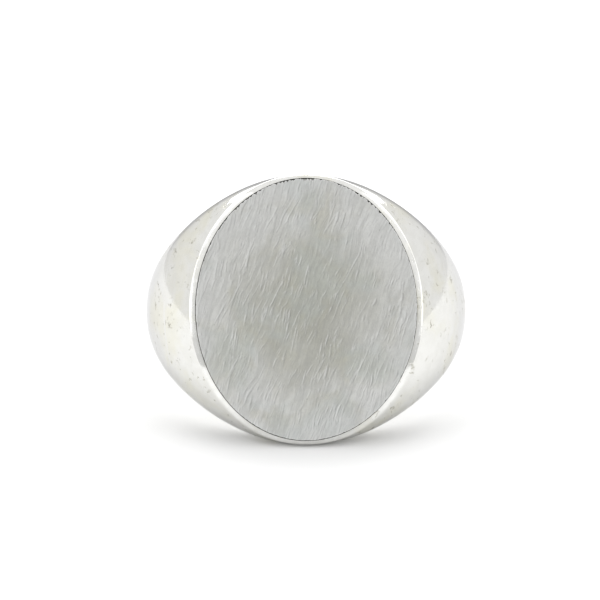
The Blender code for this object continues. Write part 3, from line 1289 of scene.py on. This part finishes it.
@dataclass(frozen=True)
class SkinMaker:
    """Lofts radial sections of the ring between two angles, for the shoulders, the shank and their joints."""

    form: RingForm
    place: RingPlace
    relief: PolishRelief = field(default_factory=PolishRelief)
    dome_steps: int = 72
    round_steps: int = 6
    side_shares: tuple[float, ...] = (0.04, 0.5, 0.94)
    bore_steps: int = 6
    wear_reach: float = 0.22 * MM
    sharp: float = math.radians(28.0)

    def section(self, angle: np.ndarray) -> tuple[np.ndarray, np.ndarray]:
        """Closed radial section at each angle: bore, rounded corner, flat end, dome, then the same mirrored.

        Args:
            angle: angles of the sections.

        Returns:
            The points, one row for each angle, and the nearness to a rubbed edge of each point in a row.
        """
        form = self.form
        width = form.half_width(angle)[:, None]
        bore_width = form.bore_half_width(angle)[:, None]
        edge = form.edge_radius(angle)[:, None]
        turn = QUARTER * np.linspace(0.0, 1.0, self.round_steps + 1)
        corner = form.comfort_round
        round_radius = form.bore_radius + corner * (1.0 - np.cos(turn)) + 0.0 * width
        round_height = bore_width - corner * (1.0 - np.sin(turn))
        share = np.array(self.side_shares)
        side_radius = round_radius[:, -1:] + (edge - round_radius[:, -1:]) * share
        side_height = bore_width + (width - bore_width) * share
        tilt = np.linspace(QUARTER, -QUARTER, 2 * self.dome_steps + 1)
        dome_radius = edge + (form.crest_radius(angle)[:, None] - edge) * np.cos(tilt)
        dome_height = width * np.sin(tilt)
        bore_share = np.linspace(-1.0, 1.0, self.bore_steps + 1)[1:-1]
        bore_height = round_height[:, :1] * bore_share
        bore_radius = form.bore_radius + 0.0 * bore_height
        radius = np.concatenate([bore_radius, round_radius, side_radius, dome_radius,
                                 side_radius[:, ::-1], round_radius[:, ::-1]], axis=1)
        height = np.concatenate([bore_height, round_height, side_height, dome_height,
                                 -side_height[:, ::-1], -round_height[:, ::-1]], axis=1)
        near = np.exp(-(np.abs(np.abs(height) - width) + np.abs(radius - edge)) / self.wear_reach)
        return polar(radius, angle[:, None], height), near

    def outward(self, points: np.ndarray) -> np.ndarray:
        """Directions away from the bore axis."""
        away = points * np.array([1.0, 1.0, 0.0])
        return away / np.linalg.norm(away, axis=-1, keepdims=True)

    def loft(self, name: str, start: float, end: float, step: float) -> bpy.types.Mesh:
        """Closed solid between two angles: sections joined by quads, with a flat face at each end.

        Args:
            name: name of the mesh.
            start: first angle.
            end: last angle.
            step: greatest angle between sections.

        Returns:
            The mesh.
        """
        count = max(3, int(math.ceil(abs(end - start) / step)) + 1)
        points, near = self.section(np.linspace(start, end, count))
        points = self.relief.raise_points(points, self.outward(points))
        rows, columns = points.shape[:2]
        first = np.arange(columns)[None, ::-1]
        last = (rows - 1) * columns + np.arange(columns)[None, :]
        faces = [grid_quads(rows, columns, close_columns=True), np.concatenate([first, last])]
        mesh = closed_mesh(name, self.place.lay(points), faces, self.sharp)
        store_mask(mesh, WEAR, near)
        return mesh


@dataclass(frozen=True)
class Head:
    """The head: a ring of metal round the table's pocket, the hollow and the lining's seat.

    Its surface is one grid. One parameter runs round the head. The other runs from the lining's seat across
    the bore, over the outside, across the rim, down the pocket and back to the seat.
    """

    maker: SkinMaker
    name: str = "polished_head"
    side_count: int = 70
    end_count: int = 240
    corner_psi: float = math.radians(33.0)
    bore_rows: int = 12
    skin_rows: int = 40
    bevel_rows: int = 12
    bevel_reach: float = 0.04 * MM
    bevel_share: float = 0.50
    lip_round: float = 0.02 * MM
    lip_rows: int = 3
    seat_rows: int = 3
    wall_shares: tuple[float, ...] = (0.03, 0.5, 1.0)
    relief_fade: float = 0.25

    def perimeter(self) -> tuple[np.ndarray, np.ndarray, np.ndarray]:
        """The head's outline in angle and tilt, walked once round from the right, with the oval's angle.

        Returns:
            Angle, tilt and oval angle of each sample.
        """
        joint = self.maker.form.head_joint
        up = np.linspace(0.0, 1.0, self.side_count, endpoint=False)
        over = np.linspace(0.0, 1.0, self.end_count, endpoint=False)
        corner = self.corner_psi
        angle = np.concatenate([joint + 0.0 * up, joint * (1.0 - 2.0 * over), -joint + 0.0 * up])
        tilt = np.concatenate([QUARTER * up, QUARTER + 0.0 * over, QUARTER * (1.0 - up)])
        psi = np.concatenate([corner * up, corner + (math.pi - 2.0 * corner) * over,
                              math.pi - corner + corner * up])
        return (np.concatenate([angle, -angle]), np.concatenate([tilt, -tilt]),
                np.concatenate([psi, psi + math.pi]))

    def side_rows(self, angle: np.ndarray, tilt: np.ndarray) -> list[np.ndarray]:
        """Rows from the bore's edge to the outside's edge: over the ends, or up the flat joint faces.

        Args:
            angle: the outline's angles.
            tilt: the outline's tilts.

        Returns:
            Rows of points.
        """
        form = self.maker.form
        edge = form.edge_radius(angle)
        crest = form.crest_radius(angle)
        grow = (edge + (crest - edge) * np.cos(tilt) - form.bore_radius) / (edge - form.bore_radius)
        lift = np.sin(tilt)
        width = form.half_width(angle)
        bore_width = form.bore_half_width(angle)
        rows = []
        for turn in QUARTER * np.linspace(0.0, 1.0, self.maker.round_steps + 1):
            rise = form.comfort_round * (1.0 - math.cos(turn))
            height = bore_width - form.comfort_round * (1.0 - math.sin(turn))
            rows.append(polar(form.bore_radius + rise * grow, angle, lift * height))
        base = form.comfort_round
        for share in self.maker.side_shares:
            rise = base + (edge - form.bore_radius - base) * share
            height = bore_width + (width - bore_width) * share
            rows.append(polar(form.bore_radius + rise * grow, angle, lift * height))
        return rows

    def bore_sheet(self, angle: np.ndarray, tilt: np.ndarray, psi: np.ndarray) -> list[np.ndarray]:
        """Rows on the bore from the lining's seat out to the bore's edge, straight in angle and height.

        Args:
            angle: the outline's angles.
            tilt: the outline's tilts.
            psi: the outline's oval angles.

        Returns:
            Rows of points.
        """
        form = self.maker.form
        seat_angle = np.arcsin(form.seat[0] * np.cos(psi) / form.bore_radius)
        seat_height = form.seat[1] * np.sin(psi)
        edge_height = np.sin(tilt) * (form.bore_half_width(angle) - form.comfort_round)
        rows = []
        for share in np.linspace(0.0, 1.0, self.bore_rows, endpoint=False):
            turn = seat_angle + (angle - seat_angle) * share
            rows.append(polar(form.bore_radius, turn, seat_height + (edge_height - seat_height) * share))
        return rows

    def skin_sheet(self, angle: np.ndarray, tilt: np.ndarray, psi: np.ndarray) -> list[np.ndarray]:
        """Rows over the outside, then the rim's soft bevel.

        The bevel is a quadratic curve. It leaves the skin along the skin's own slope and reaches the pocket's
        lip at a share of that slope. Its middle control point is where those two lines cross, and it starts a
        little further out than that.

        Args:
            angle: the outline's angles.
            tilt: the outline's tilts.
            psi: the outline's oval angles.

        Returns:
            Rows of points.
        """
        form = self.maker.form
        rim_angle, rim_tilt = form.rim_tilt(psi)

        def at(share: np.ndarray) -> np.ndarray:
            """The skin at a share of the way to the rim."""
            return form.skin(angle + (rim_angle - angle) * share, tilt + (rim_tilt - tilt) * share)

        probe = 0.02
        outline = at(np.ones_like(psi))
        step = outline - at(np.full_like(psi, 1.0 - probe))
        away = oval((1.0 / form.face_across, 1.0 / form.face_along), psi, np.zeros_like(psi))
        away /= np.linalg.norm(away, axis=-1, keepdims=True)
        skin_slope = -step[:, 1] / -(step * away).sum(axis=-1)
        lip_slope = np.tan(self.bevel_share * np.arctan(skin_slope))
        run = form.rim_width - self.lip_round
        reach = run * skin_slope / (skin_slope - lip_slope)
        crossing = (reach - run) * np.sqrt(1.0 + skin_slope * skin_slope)
        stop = 1.0 - (crossing + self.bevel_reach) * probe / np.linalg.norm(step, axis=-1)
        rows = [at(stop * share) for share in np.linspace(0.0, 1.0, self.skin_rows)]
        finish = oval(form.pocket + self.lip_round, psi, form.rim_distance)
        middle = finish + away * reach[:, None]
        middle[:, 1] += reach * lip_slope
        start = rows[-1]
        for t in np.linspace(0.0, 1.0, self.bevel_rows)[1:-1]:
            rows.append((1.0 - t) ** 2 * start + 2.0 * t * (1.0 - t) * middle + t * t * finish)
        return rows

    def inner_rows(self, psi: np.ndarray) -> list[np.ndarray]:
        """Rows from the rim's inner lip down the pocket, over its ledge, down the hollow and to the seat.

        Args:
            psi: angles round the oval.

        Returns:
            Rows of points.
        """
        form = self.maker.form
        rows = []
        for turn in np.linspace(0.0, QUARTER, self.lip_rows + 1):
            grow = self.lip_round * (1.0 - math.sin(turn))
            drop = self.lip_round * (1.0 - math.cos(turn))
            rows.append(oval(form.pocket + grow, psi, form.rim_distance - drop))
        lip_end = form.rim_distance - self.lip_round
        for share in self.wall_shares:
            rows.append(oval(form.pocket, psi, lip_end + (form.pocket_floor - lip_end) * share))
        rows.append(oval(form.hollow, psi, form.pocket_floor))
        for share in np.linspace(0.0, 1.0, self.seat_rows):
            rows.append(oval_on_cylinder(form.hollow + form.lining_ledge * share, psi, form.seat_radius))
        return rows

    def build(self, material: bpy.types.Material) -> None:
        """Build the head in place of its CAD node.

        Args:
            material: finish of the head.
        """
        angle, tilt, psi = self.perimeter()
        skin = self.skin_sheet(angle, tilt, psi)
        rows = self.bore_sheet(angle, tilt, psi) + self.side_rows(angle, tilt)
        first_skin = len(rows)
        rows += skin
        first_inner = len(rows)
        rows += self.inner_rows(psi)
        points = np.stack(rows)
        fade = np.zeros(len(rows))
        fade[:first_skin] = 1.0
        fading = np.linspace(1.0, 0.0, self.skin_rows) ** self.relief_fade
        fade[first_skin:first_skin + self.skin_rows] = fading
        raised = self.maker.relief.raise_points(points, self.maker.outward(points))
        points = points + (raised - points) * fade[:, None, None]
        form = self.maker.form
        rim = oval((form.face_across, form.face_along), psi, form.rim_distance)
        near = np.exp(-np.linalg.norm(points - rim[None], axis=-1) / self.maker.wear_reach)
        faces = [grid_quads(*points.shape[:2], close_rows=True, close_columns=True)]
        mesh = closed_mesh(self.name, self.maker.place.lay(points), faces, self.maker.sharp)
        store_mask(mesh, WEAR, near)
        grime = np.zeros(points.shape[:2])
        grime[first_inner + self.lip_rows + 1:] = 1.0
        store_mask(mesh, GRIME, grime)
        add_piece(self.name, mesh, material, Slot.POLISHED, "head_wall")


@dataclass(frozen=True)
class Table:
    """The brushed oval table and the solder under it."""

    form: RingForm
    place: RingPlace
    strokes: StrokeRelief = field(default_factory=StrokeRelief)
    ragged: RaggedEdge = field(default_factory=RaggedEdge)
    name: str = "brushed_table"
    seam_name: str = "table_solder"
    cells: int = 280
    gap: float = 0.014 * MM
    left_gap: float = 0.034 * MM
    edge_round: float = 0.030 * MM
    edge_rows: int = 4
    edge_fade: float = 14.0
    wall_start: float = 0.02 * MM
    # The table's rubbed band reaches far in from its edge: edge wear and also a painted highlight that
    # brightens the face towards its edges.
    wear_reach: float = 1.1 * MM
    sharp: float = math.radians(50.0)
    seam_count: int = 240

    def top_grid(self) -> tuple[np.ndarray, np.ndarray]:
        """A square grid bent into a unit disc: x = u sqrt(1 - v v / 2), z = v sqrt(1 - u u / 2).

        Returns:
            x and z of the grid's points.
        """
        side = np.linspace(-1.0, 1.0, self.cells + 1)
        u, v = np.meshgrid(side, side, indexing="ij")
        return u * np.sqrt(1.0 - 0.5 * v * v), v * np.sqrt(1.0 - 0.5 * u * u)

    def border(self) -> np.ndarray:
        """Numbers of the grid's outer points, walked once round."""
        number = np.arange((self.cells + 1) ** 2).reshape(self.cells + 1, -1)
        return np.concatenate([number[:-1, 0], number[-1, :-1], number[:0:-1, -1], number[0, :0:-1]])

    def build(self, material: bpy.types.Material) -> None:
        """Build the plate: a stroked top, a rounded ragged edge, a wall and a flat underside.

        Args:
            material: finish of the table.
        """
        form = self.form
        half = form.pocket
        x, z = (side.ravel() for side in self.top_grid())
        psi = np.arctan2(z, x)
        disc = np.hypot(x, z)
        radius = np.hypot(half[0] * np.cos(psi), half[1] * np.sin(psi))
        gap = self.gap + (self.left_gap - self.gap) * 0.5 * (1.0 - np.cos(psi))
        inset = (gap + self.ragged.depth(psi, half) + self.edge_round) / radius
        scale = 1.0 - inset * disc ** self.edge_fade
        level = np.full_like(x, -form.face_distance)
        top = np.stack([x * half[0] * scale, level, z * half[1] * scale], axis=-1)
        height = self.strokes.depth(top[:, 0], top[:, 2], (half[0], half[1]))
        top[:, 1] -= height
        border = self.border()
        rows = []
        for turn in np.linspace(0.0, QUARTER, self.edge_rows + 1)[1:]:
            grow = self.edge_round * math.sin(turn) / radius[border]
            drop = self.edge_round * (1.0 - math.cos(turn))
            row = top[border] / scale[border, None] * (scale[border] + grow)[:, None]
            row[:, 1] = -(form.face_distance - drop) - height[border] * math.cos(turn)
            rows.append(row)
        for distance in (form.face_distance - self.edge_round - self.wall_start,
                         form.face_distance - form.table_thickness):
            row = rows[-1].copy()
            row[:, 1] = -distance
            rows.append(row)
        points = np.concatenate([top] + rows)
        loops = [border]
        loops += [len(top) + index * len(border) + np.arange(len(border)) for index in range(len(rows))]
        quads = [grid_quads(self.cells + 1, self.cells + 1)]
        for above, below in zip(loops, loops[1:]):
            quads.append(np.stack([above, below, np.roll(below, -1), np.roll(above, -1)], axis=-1))
        faces = self.matched(points, quads, loops[-1])
        mesh = closed_mesh(self.name, self.place.lay(points), faces, self.sharp)
        reach = 1.0 - np.hypot(points[:, 0] / half[0], points[:, 2] / half[1])
        store_mask(mesh, WEAR, np.exp(-np.clip(reach, 0.0, None) * half[0] / self.wear_reach))
        grime = np.zeros(len(points))
        grime[loops[-2][0]:] = 1.0
        store_mask(mesh, GRIME, grime)
        add_piece(self.name, mesh, material, Slot.BRUSHED, "face_plate")

    def matched(self, points: np.ndarray, quads: list[np.ndarray], last: np.ndarray) -> list[np.ndarray]:
        """Turn the top, the edge rows and the underside to the same handedness.

        Args:
            points: all points.
            quads: the top's quads, then the quads of each edge row.
            last: the underside's loop of points.

        Returns:
            Face arrays that all turn the same way.
        """
        top, rows = quads[0], quads[1:]
        across = points[top[0, 2]] - points[top[0, 0]]
        facing = float(np.cross(across, points[top[0, 3]] - points[top[0, 1]])[1])
        if facing > 0.0:
            top = top[:, ::-1]
        wall = rows[-1][:1]
        outward = np.cross(points[wall[0, 2]] - points[wall[0, 0]], points[wall[0, 3]] - points[wall[0, 1]])
        middle = points[wall[0]].mean(axis=0) * np.array([1.0, 0.0, 1.0])
        if float(outward @ middle) < 0.0:
            rows = [row[:, ::-1] for row in rows]
        loop = points[last]
        spin = float((np.cross(loop, np.roll(loop, -1, axis=0)))[:, 1].sum())
        under = last[None, :] if spin > 0.0 else last[None, ::-1]
        return [np.concatenate([top] + rows), under]

    def build_seam(self, material: bpy.types.Material) -> None:
        """Build the solder: a flat oval washer that fills the joint between table and ledge.

        Args:
            material: finish of the solder.
        """
        form = self.form
        psi = np.linspace(0.0, 2.0 * math.pi, self.seam_count, endpoint=False)
        top = form.face_distance - form.table_thickness
        outer = form.pocket - self.gap
        rows = [oval(outer, psi, top), oval(form.hollow, psi, top),
                oval(form.hollow, psi, form.pocket_floor), oval(outer, psi, form.pocket_floor)]
        points = np.stack(rows)
        faces = [grid_quads(*points.shape[:2], close_rows=True, close_columns=True)]
        mesh = closed_mesh(self.seam_name, self.place.lay(points), faces, self.sharp)
        store_mask(mesh, WEAR, np.zeros(points.shape[:2]))
        add_piece(self.seam_name, mesh, material, Slot.SOLDER, "table_solder_seam")


@dataclass(frozen=True)
class Lining:
    """The curved plate that closes the head's hollow on the finger side, with its vent, and its solder."""

    form: RingForm
    place: RingPlace
    name: str = "finger_lining_plate"
    seam_name: str = "lining_solder"
    count: int = 360
    face_rows: int = 40
    gap: float = 0.015 * MM
    edge_round: float = 0.03 * MM
    edge_rows: int = 3
    sharp: float = math.radians(40.0)

    def plate_rows(self, psi: np.ndarray) -> list[np.ndarray]:
        """Rows from the vent over the finger side, round the edge and back over the hidden side.

        Args:
            psi: angles round the oval.

        Returns:
            Rows of points.
        """
        form = self.form
        vent = np.array([form.vent_radius, form.vent_radius])
        outer = form.seat - self.gap
        flat = outer - self.edge_round
        rows = []
        for share in np.linspace(0.0, 1.0, self.face_rows):
            rows.append(oval_on_cylinder(vent + (flat - vent) * share, psi, form.bore_radius))
        for turn in np.linspace(0.0, QUARTER, self.edge_rows + 1)[1:]:
            radius = form.bore_radius + self.edge_round * (1.0 - math.cos(turn))
            rows.append(oval_on_cylinder(flat + self.edge_round * math.sin(turn), psi, radius))
        for share in np.linspace(1.0, 0.0, self.face_rows // 2):
            rows.append(oval_on_cylinder(vent + (outer - vent) * share, psi, form.lining_radius))
        return rows

    def build(self, material: bpy.types.Material) -> None:
        """Build the plate in place of its CAD node.

        Args:
            material: finish of the lining.
        """
        psi = np.linspace(0.0, 2.0 * math.pi, self.count, endpoint=False)
        points = np.stack(self.plate_rows(psi))
        faces = [grid_quads(*points.shape[:2], close_rows=True, close_columns=True)]
        mesh = closed_mesh(self.name, self.place.lay(points), faces, self.sharp)
        near = np.zeros(points.shape[:2])
        near[self.face_rows - 1:self.face_rows + self.edge_rows] = 1.0
        store_mask(mesh, WEAR, near)
        add_piece(self.name, mesh, material, Slot.LINING, "finger_lining")

    def build_seam(self, material: bpy.types.Material) -> None:
        """Build the solder: a curved oval washer that fills the joint between lining and ledge.

        Args:
            material: finish of the solder.
        """
        form = self.form
        psi = np.linspace(0.0, 2.0 * math.pi, self.count, endpoint=False)
        outer = form.seat - self.gap
        rows = [oval_on_cylinder(form.hollow, psi, form.lining_radius),
                oval_on_cylinder(outer, psi, form.lining_radius),
                oval_on_cylinder(outer, psi, form.seat_radius),
                oval_on_cylinder(form.hollow, psi, form.seat_radius)]
        points = np.stack(rows)
        faces = [grid_quads(*points.shape[:2], close_rows=True, close_columns=True)]
        mesh = closed_mesh(self.seam_name, self.place.lay(points), faces, self.sharp)
        store_mask(mesh, WEAR, np.zeros(points.shape[:2]))
        add_piece(self.seam_name, mesh, material, Slot.SOLDER, "lining_solder_seam")


@dataclass(frozen=True)
class Shoulder:
    """One shoulder with the soldered joints at its two ends."""

    maker: SkinMaker
    side: Side
    step: float = math.radians(0.5)
    joint_step: float = math.radians(0.3)

    def build(self, silver: bpy.types.Material, solder: bpy.types.Material) -> None:
        """Build the shoulder and its joints in place of their CAD nodes.

        Args:
            silver: finish of the shoulder.
            solder: finish of the joints.
        """
        form = self.maker.form
        suffix = self.side.name.lower()
        sign = self.side.value
        head = (form.head_joint, form.head_joint + form.joint_turn)
        shank = (form.shank_joint, form.shank_joint + form.joint_turn)
        between = (head[1], shank[0])
        pieces = (
            ("head_joint_", head, self.joint_step, solder, Slot.SOLDER, "head_solder_seam_"),
            ("polished_shoulder_", between, self.step, silver, Slot.POLISHED, "shoulder_"),
            ("shank_joint_", shank, self.joint_step, solder, Slot.SOLDER, "shank_solder_seam_"),
        )
        for name, (start, end), step, material, slot, node in pieces:
            mesh = self.maker.loft(name + suffix, sign * start, sign * end, step)
            add_piece(name + suffix, mesh, material, slot, node + suffix)


@dataclass(frozen=True)
class Shank:
    """The narrow bar behind the finger."""

    maker: SkinMaker
    name: str = "polished_shank"
    step: float = math.radians(0.7)

    def build(self, material: bpy.types.Material) -> None:
        """Build the shank in place of its CAD node.

        Args:
            material: finish of the shank.
        """
        form = self.maker.form
        start = form.shank_joint + form.joint_turn
        mesh = self.maker.loft(self.name, start, 2.0 * math.pi - start, self.step)
        add_piece(self.name, mesh, material, Slot.POLISHED, "rear_shank")


# ---------------------------------------------------------------- studio

@dataclass(frozen=True)
class Softbox:
    """A rectangular soft light beside the ring, turned towards it. Sizes are in metres."""

    side: Side
    width: float
    radiance: float
    height: float = 0.42
    distance: float = 0.40
    azimuth: float = math.radians(65.0)
    elevation: float = math.radians(30.0)
    roll: float = math.radians(20.0)

    def build(self, centre: Vector) -> None:
        """Add the light. Its power grows with its area, so its face is as bright at any size.

        Args:
            centre: the middle of the ring's bore.
        """
        turn = self.side.value * self.azimuth
        rise = self.elevation
        towards = Vector((math.sin(turn) * math.cos(rise), -math.cos(turn) * math.cos(rise), math.sin(rise)))
        name = self.side.name.lower()
        data = bpy.data.lights.new(name, "AREA")
        data.shape = "RECTANGLE"
        data.size = self.width
        data.size_y = self.height
        data.energy = math.pi * self.width * self.height * self.radiance
        lamp = bpy.data.objects.new(name, data)
        lamp.location = centre + towards * self.distance
        rolled = Quaternion((0.0, 0.0, 1.0), -self.side.value * self.roll)
        lamp.rotation_euler = (towards.to_track_quat("Z", "Y") @ rolled).to_euler()
        bpy.context.scene.collection.objects.link(lamp)


@dataclass(frozen=True)
class Studio:
    """A pale table top, a light tent, the lights and the camera."""

    place: RingPlace
    view_below_normal: float = math.radians(0.8)
    camera_distance: float = 250.0 * MM
    frame_width: float = 38.7 * MM
    sensor: float = 36.0
    aim_across: float = -0.40 * MM
    aim_up: float = 0.60 * MM
    floor_half: float = 200.0 * MM
    floor_colour: Colour = (0.83, 0.83, 0.83, 1.0)
    overhead_power: float = 2.10
    overhead_spread: float = math.radians(42.0)
    overhead_lean: float = math.radians(43.0)
    overhead_turn: float = math.radians(26.0)
    softboxes: tuple[Softbox, ...] = (Softbox(Side.LEFT, 0.18, 0.68), Softbox(Side.RIGHT, 0.16, 0.62))
    floor_glow: float = 0.06
    floor_roughness: float = 0.95
    floor_shine: float = 0.1
    tooth_scale: float = 3000.0
    tooth_height: float = 0.01 * MM
    tooth_strength: float = 0.2
    tent_colour: Colour = (1.10, 1.10, 1.10, 1.0)
    top_colour: Colour = (0.66, 0.66, 0.66, 1.0)
    top_fade: tuple[float, float] = (0.22, 0.48)
    top_sides: tuple[float, float] = (0.10, 0.40)
    crown_fade: tuple[float, float] = (0.70, 0.88)
    crown_sides: tuple[float, float] = (-0.10, 0.15)
    front_colour: Colour = (0.62, 0.625, 0.62, 1.0)
    back_colour: Colour = (0.66, 0.66, 0.67, 1.0)
    front_fade: tuple[float, float] = (0.55, 0.88)
    back_fade: tuple[float, float] = (0.80, 0.98)

    def camera(self) -> None:
        """Put the camera straight in front of the table, a little under its normal."""
        lean = self.place.lean - self.view_below_normal
        towards = Vector((0.0, -math.cos(lean), math.sin(lean)))
        up = Vector((0.0, math.sin(lean), math.cos(lean)))
        aim = self.place.face_centre + Vector((1.0, 0.0, 0.0)) * self.aim_across + up * self.aim_up
        data = bpy.data.cameras.new("camera")
        data.sensor_width = self.sensor
        data.lens = self.sensor * self.camera_distance / self.frame_width
        data.clip_start = 0.01
        data.clip_end = 10.0
        camera = bpy.data.objects.new("camera", data)
        camera.location = aim + towards * self.camera_distance
        camera.rotation_euler = (-towards).to_track_quat("-Z", "Y").to_euler()
        bpy.context.scene.collection.objects.link(camera)
        bpy.context.scene.camera = camera

    def floor(self) -> None:
        """A matt light table under the ring, with a faint tooth."""
        half = self.floor_half
        corners = [(-half, -half, 0.0), (half, -half, 0.0), (half, half, 0.0), (-half, half, 0.0)]
        mesh = bpy.data.meshes.new("floor")
        mesh.from_pydata(corners, [], [(0, 1, 2, 3)])
        material = new_material("matt_light_table")
        nodes = Nodes(material.node_tree)
        shader = material.node_tree.nodes["Principled BSDF"]
        shader.inputs["Base Color"].default_value = self.floor_colour
        shader.inputs["Roughness"].default_value = self.floor_roughness
        shader.inputs["Emission Color"].default_value = (1.0, 1.0, 1.0, 1.0)
        shader.inputs["Emission Strength"].default_value = self.floor_glow
        shader.inputs["Specular IOR Level"].default_value = self.floor_shine
        source = nodes.add("ShaderNodeTexCoord")
        tooth = nodes.noise(source.outputs["Object"], self.tooth_scale, detail=3.0)
        nodes.put(shader.inputs["Normal"], nodes.bump(tooth, self.tooth_height, self.tooth_strength))
        mesh.materials.append(material)
        floor = bpy.data.objects.new("floor", mesh)
        bpy.context.scene.collection.objects.link(floor)

    def lights(self) -> None:
        """Two broad suns overhead, turned apart, and a softbox at each side."""
        for side in Side:
            name = "overhead_" + side.name.lower()
            data = bpy.data.lights.new(name, "SUN")
            data.energy = 0.5 * self.overhead_power
            data.angle = self.overhead_spread
            lamp = bpy.data.objects.new(name, data)
            lamp.rotation_euler = (-self.overhead_lean, 0.0, -side.value * self.overhead_turn)
            bpy.context.scene.collection.objects.link(lamp)
        for softbox in self.softboxes:
            softbox.build(self.place.bore_centre)

    def world(self) -> None:
        """A white tent, dimmer in front, straight behind and in a narrow stripe overhead.

        The stripe stops short of a crown high up behind the ring, which stays white.
        """
        world = bpy.data.worlds.new("tent")
        world.use_nodes = True
        bpy.context.scene.world = world
        nodes = Nodes(world.node_tree)
        source = nodes.add("ShaderNodeTexCoord")
        split = nodes.add("ShaderNodeSeparateXYZ")
        nodes.put(split.inputs[0], source.outputs["Generated"])
        front = nodes.remap(nodes.math("MULTIPLY", split.outputs[1], -1.0), *self.front_fade)
        back = nodes.remap(split.outputs[1], *self.back_fade)
        top = nodes.remap(split.outputs[2], *self.top_fade)
        aside = nodes.remap(nodes.math("ABSOLUTE", split.outputs[0]), *self.top_sides)
        top = nodes.math("MULTIPLY", top, nodes.math("SUBTRACT", 1.0, aside))
        crown = nodes.math("MULTIPLY", nodes.remap(split.outputs[2], *self.crown_fade),
                           nodes.remap(split.outputs[1], *self.crown_sides))
        top = nodes.math("MULTIPLY", top, nodes.math("SUBTRACT", 1.0, crown))
        colour = nodes.blend(top, self.tent_colour, self.top_colour)
        colour = nodes.blend(front, colour, self.front_colour)
        colour = nodes.blend(back, colour, self.back_colour)
        background = world.node_tree.nodes["Background"]
        nodes.put(background.inputs["Color"], colour)

    def build(self) -> None:
        """Set up the whole studio."""
        self.floor()
        self.lights()
        self.world()
        self.camera()
        bpy.context.scene.view_settings.view_transform = "Standard"


def main() -> None:
    """Build the ring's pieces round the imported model, then the studio."""
    logging.basicConfig(level=logging.INFO, format="%(name)s: %(message)s")
    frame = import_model()
    form = RingForm()
    place = RingPlace.from_record(frame["record"], form)
    maker = SkinMaker(form, place)
    polished = PolishedSilver().material(place)
    lining_silver = PolishedSilver(
        name="lining_silver", gloss=0.16, haze=0.14, tarnish=0.40, speck_share=0.08)
    solder = Solder().material(place)
    Head(maker).build(polished)
    table = Table(form, place)
    table.build(BrushedSilver().material(place))
    table.build_seam(solder)
    lining = Lining(form, place)
    lining.build(lining_silver.material(place))
    lining.build_seam(solder)
    for side in Side:
        Shoulder(maker, side).build(polished, solder)
    Shank(maker).build(polished)
    Studio(place).build()


if __name__ == "__main__":
    main()
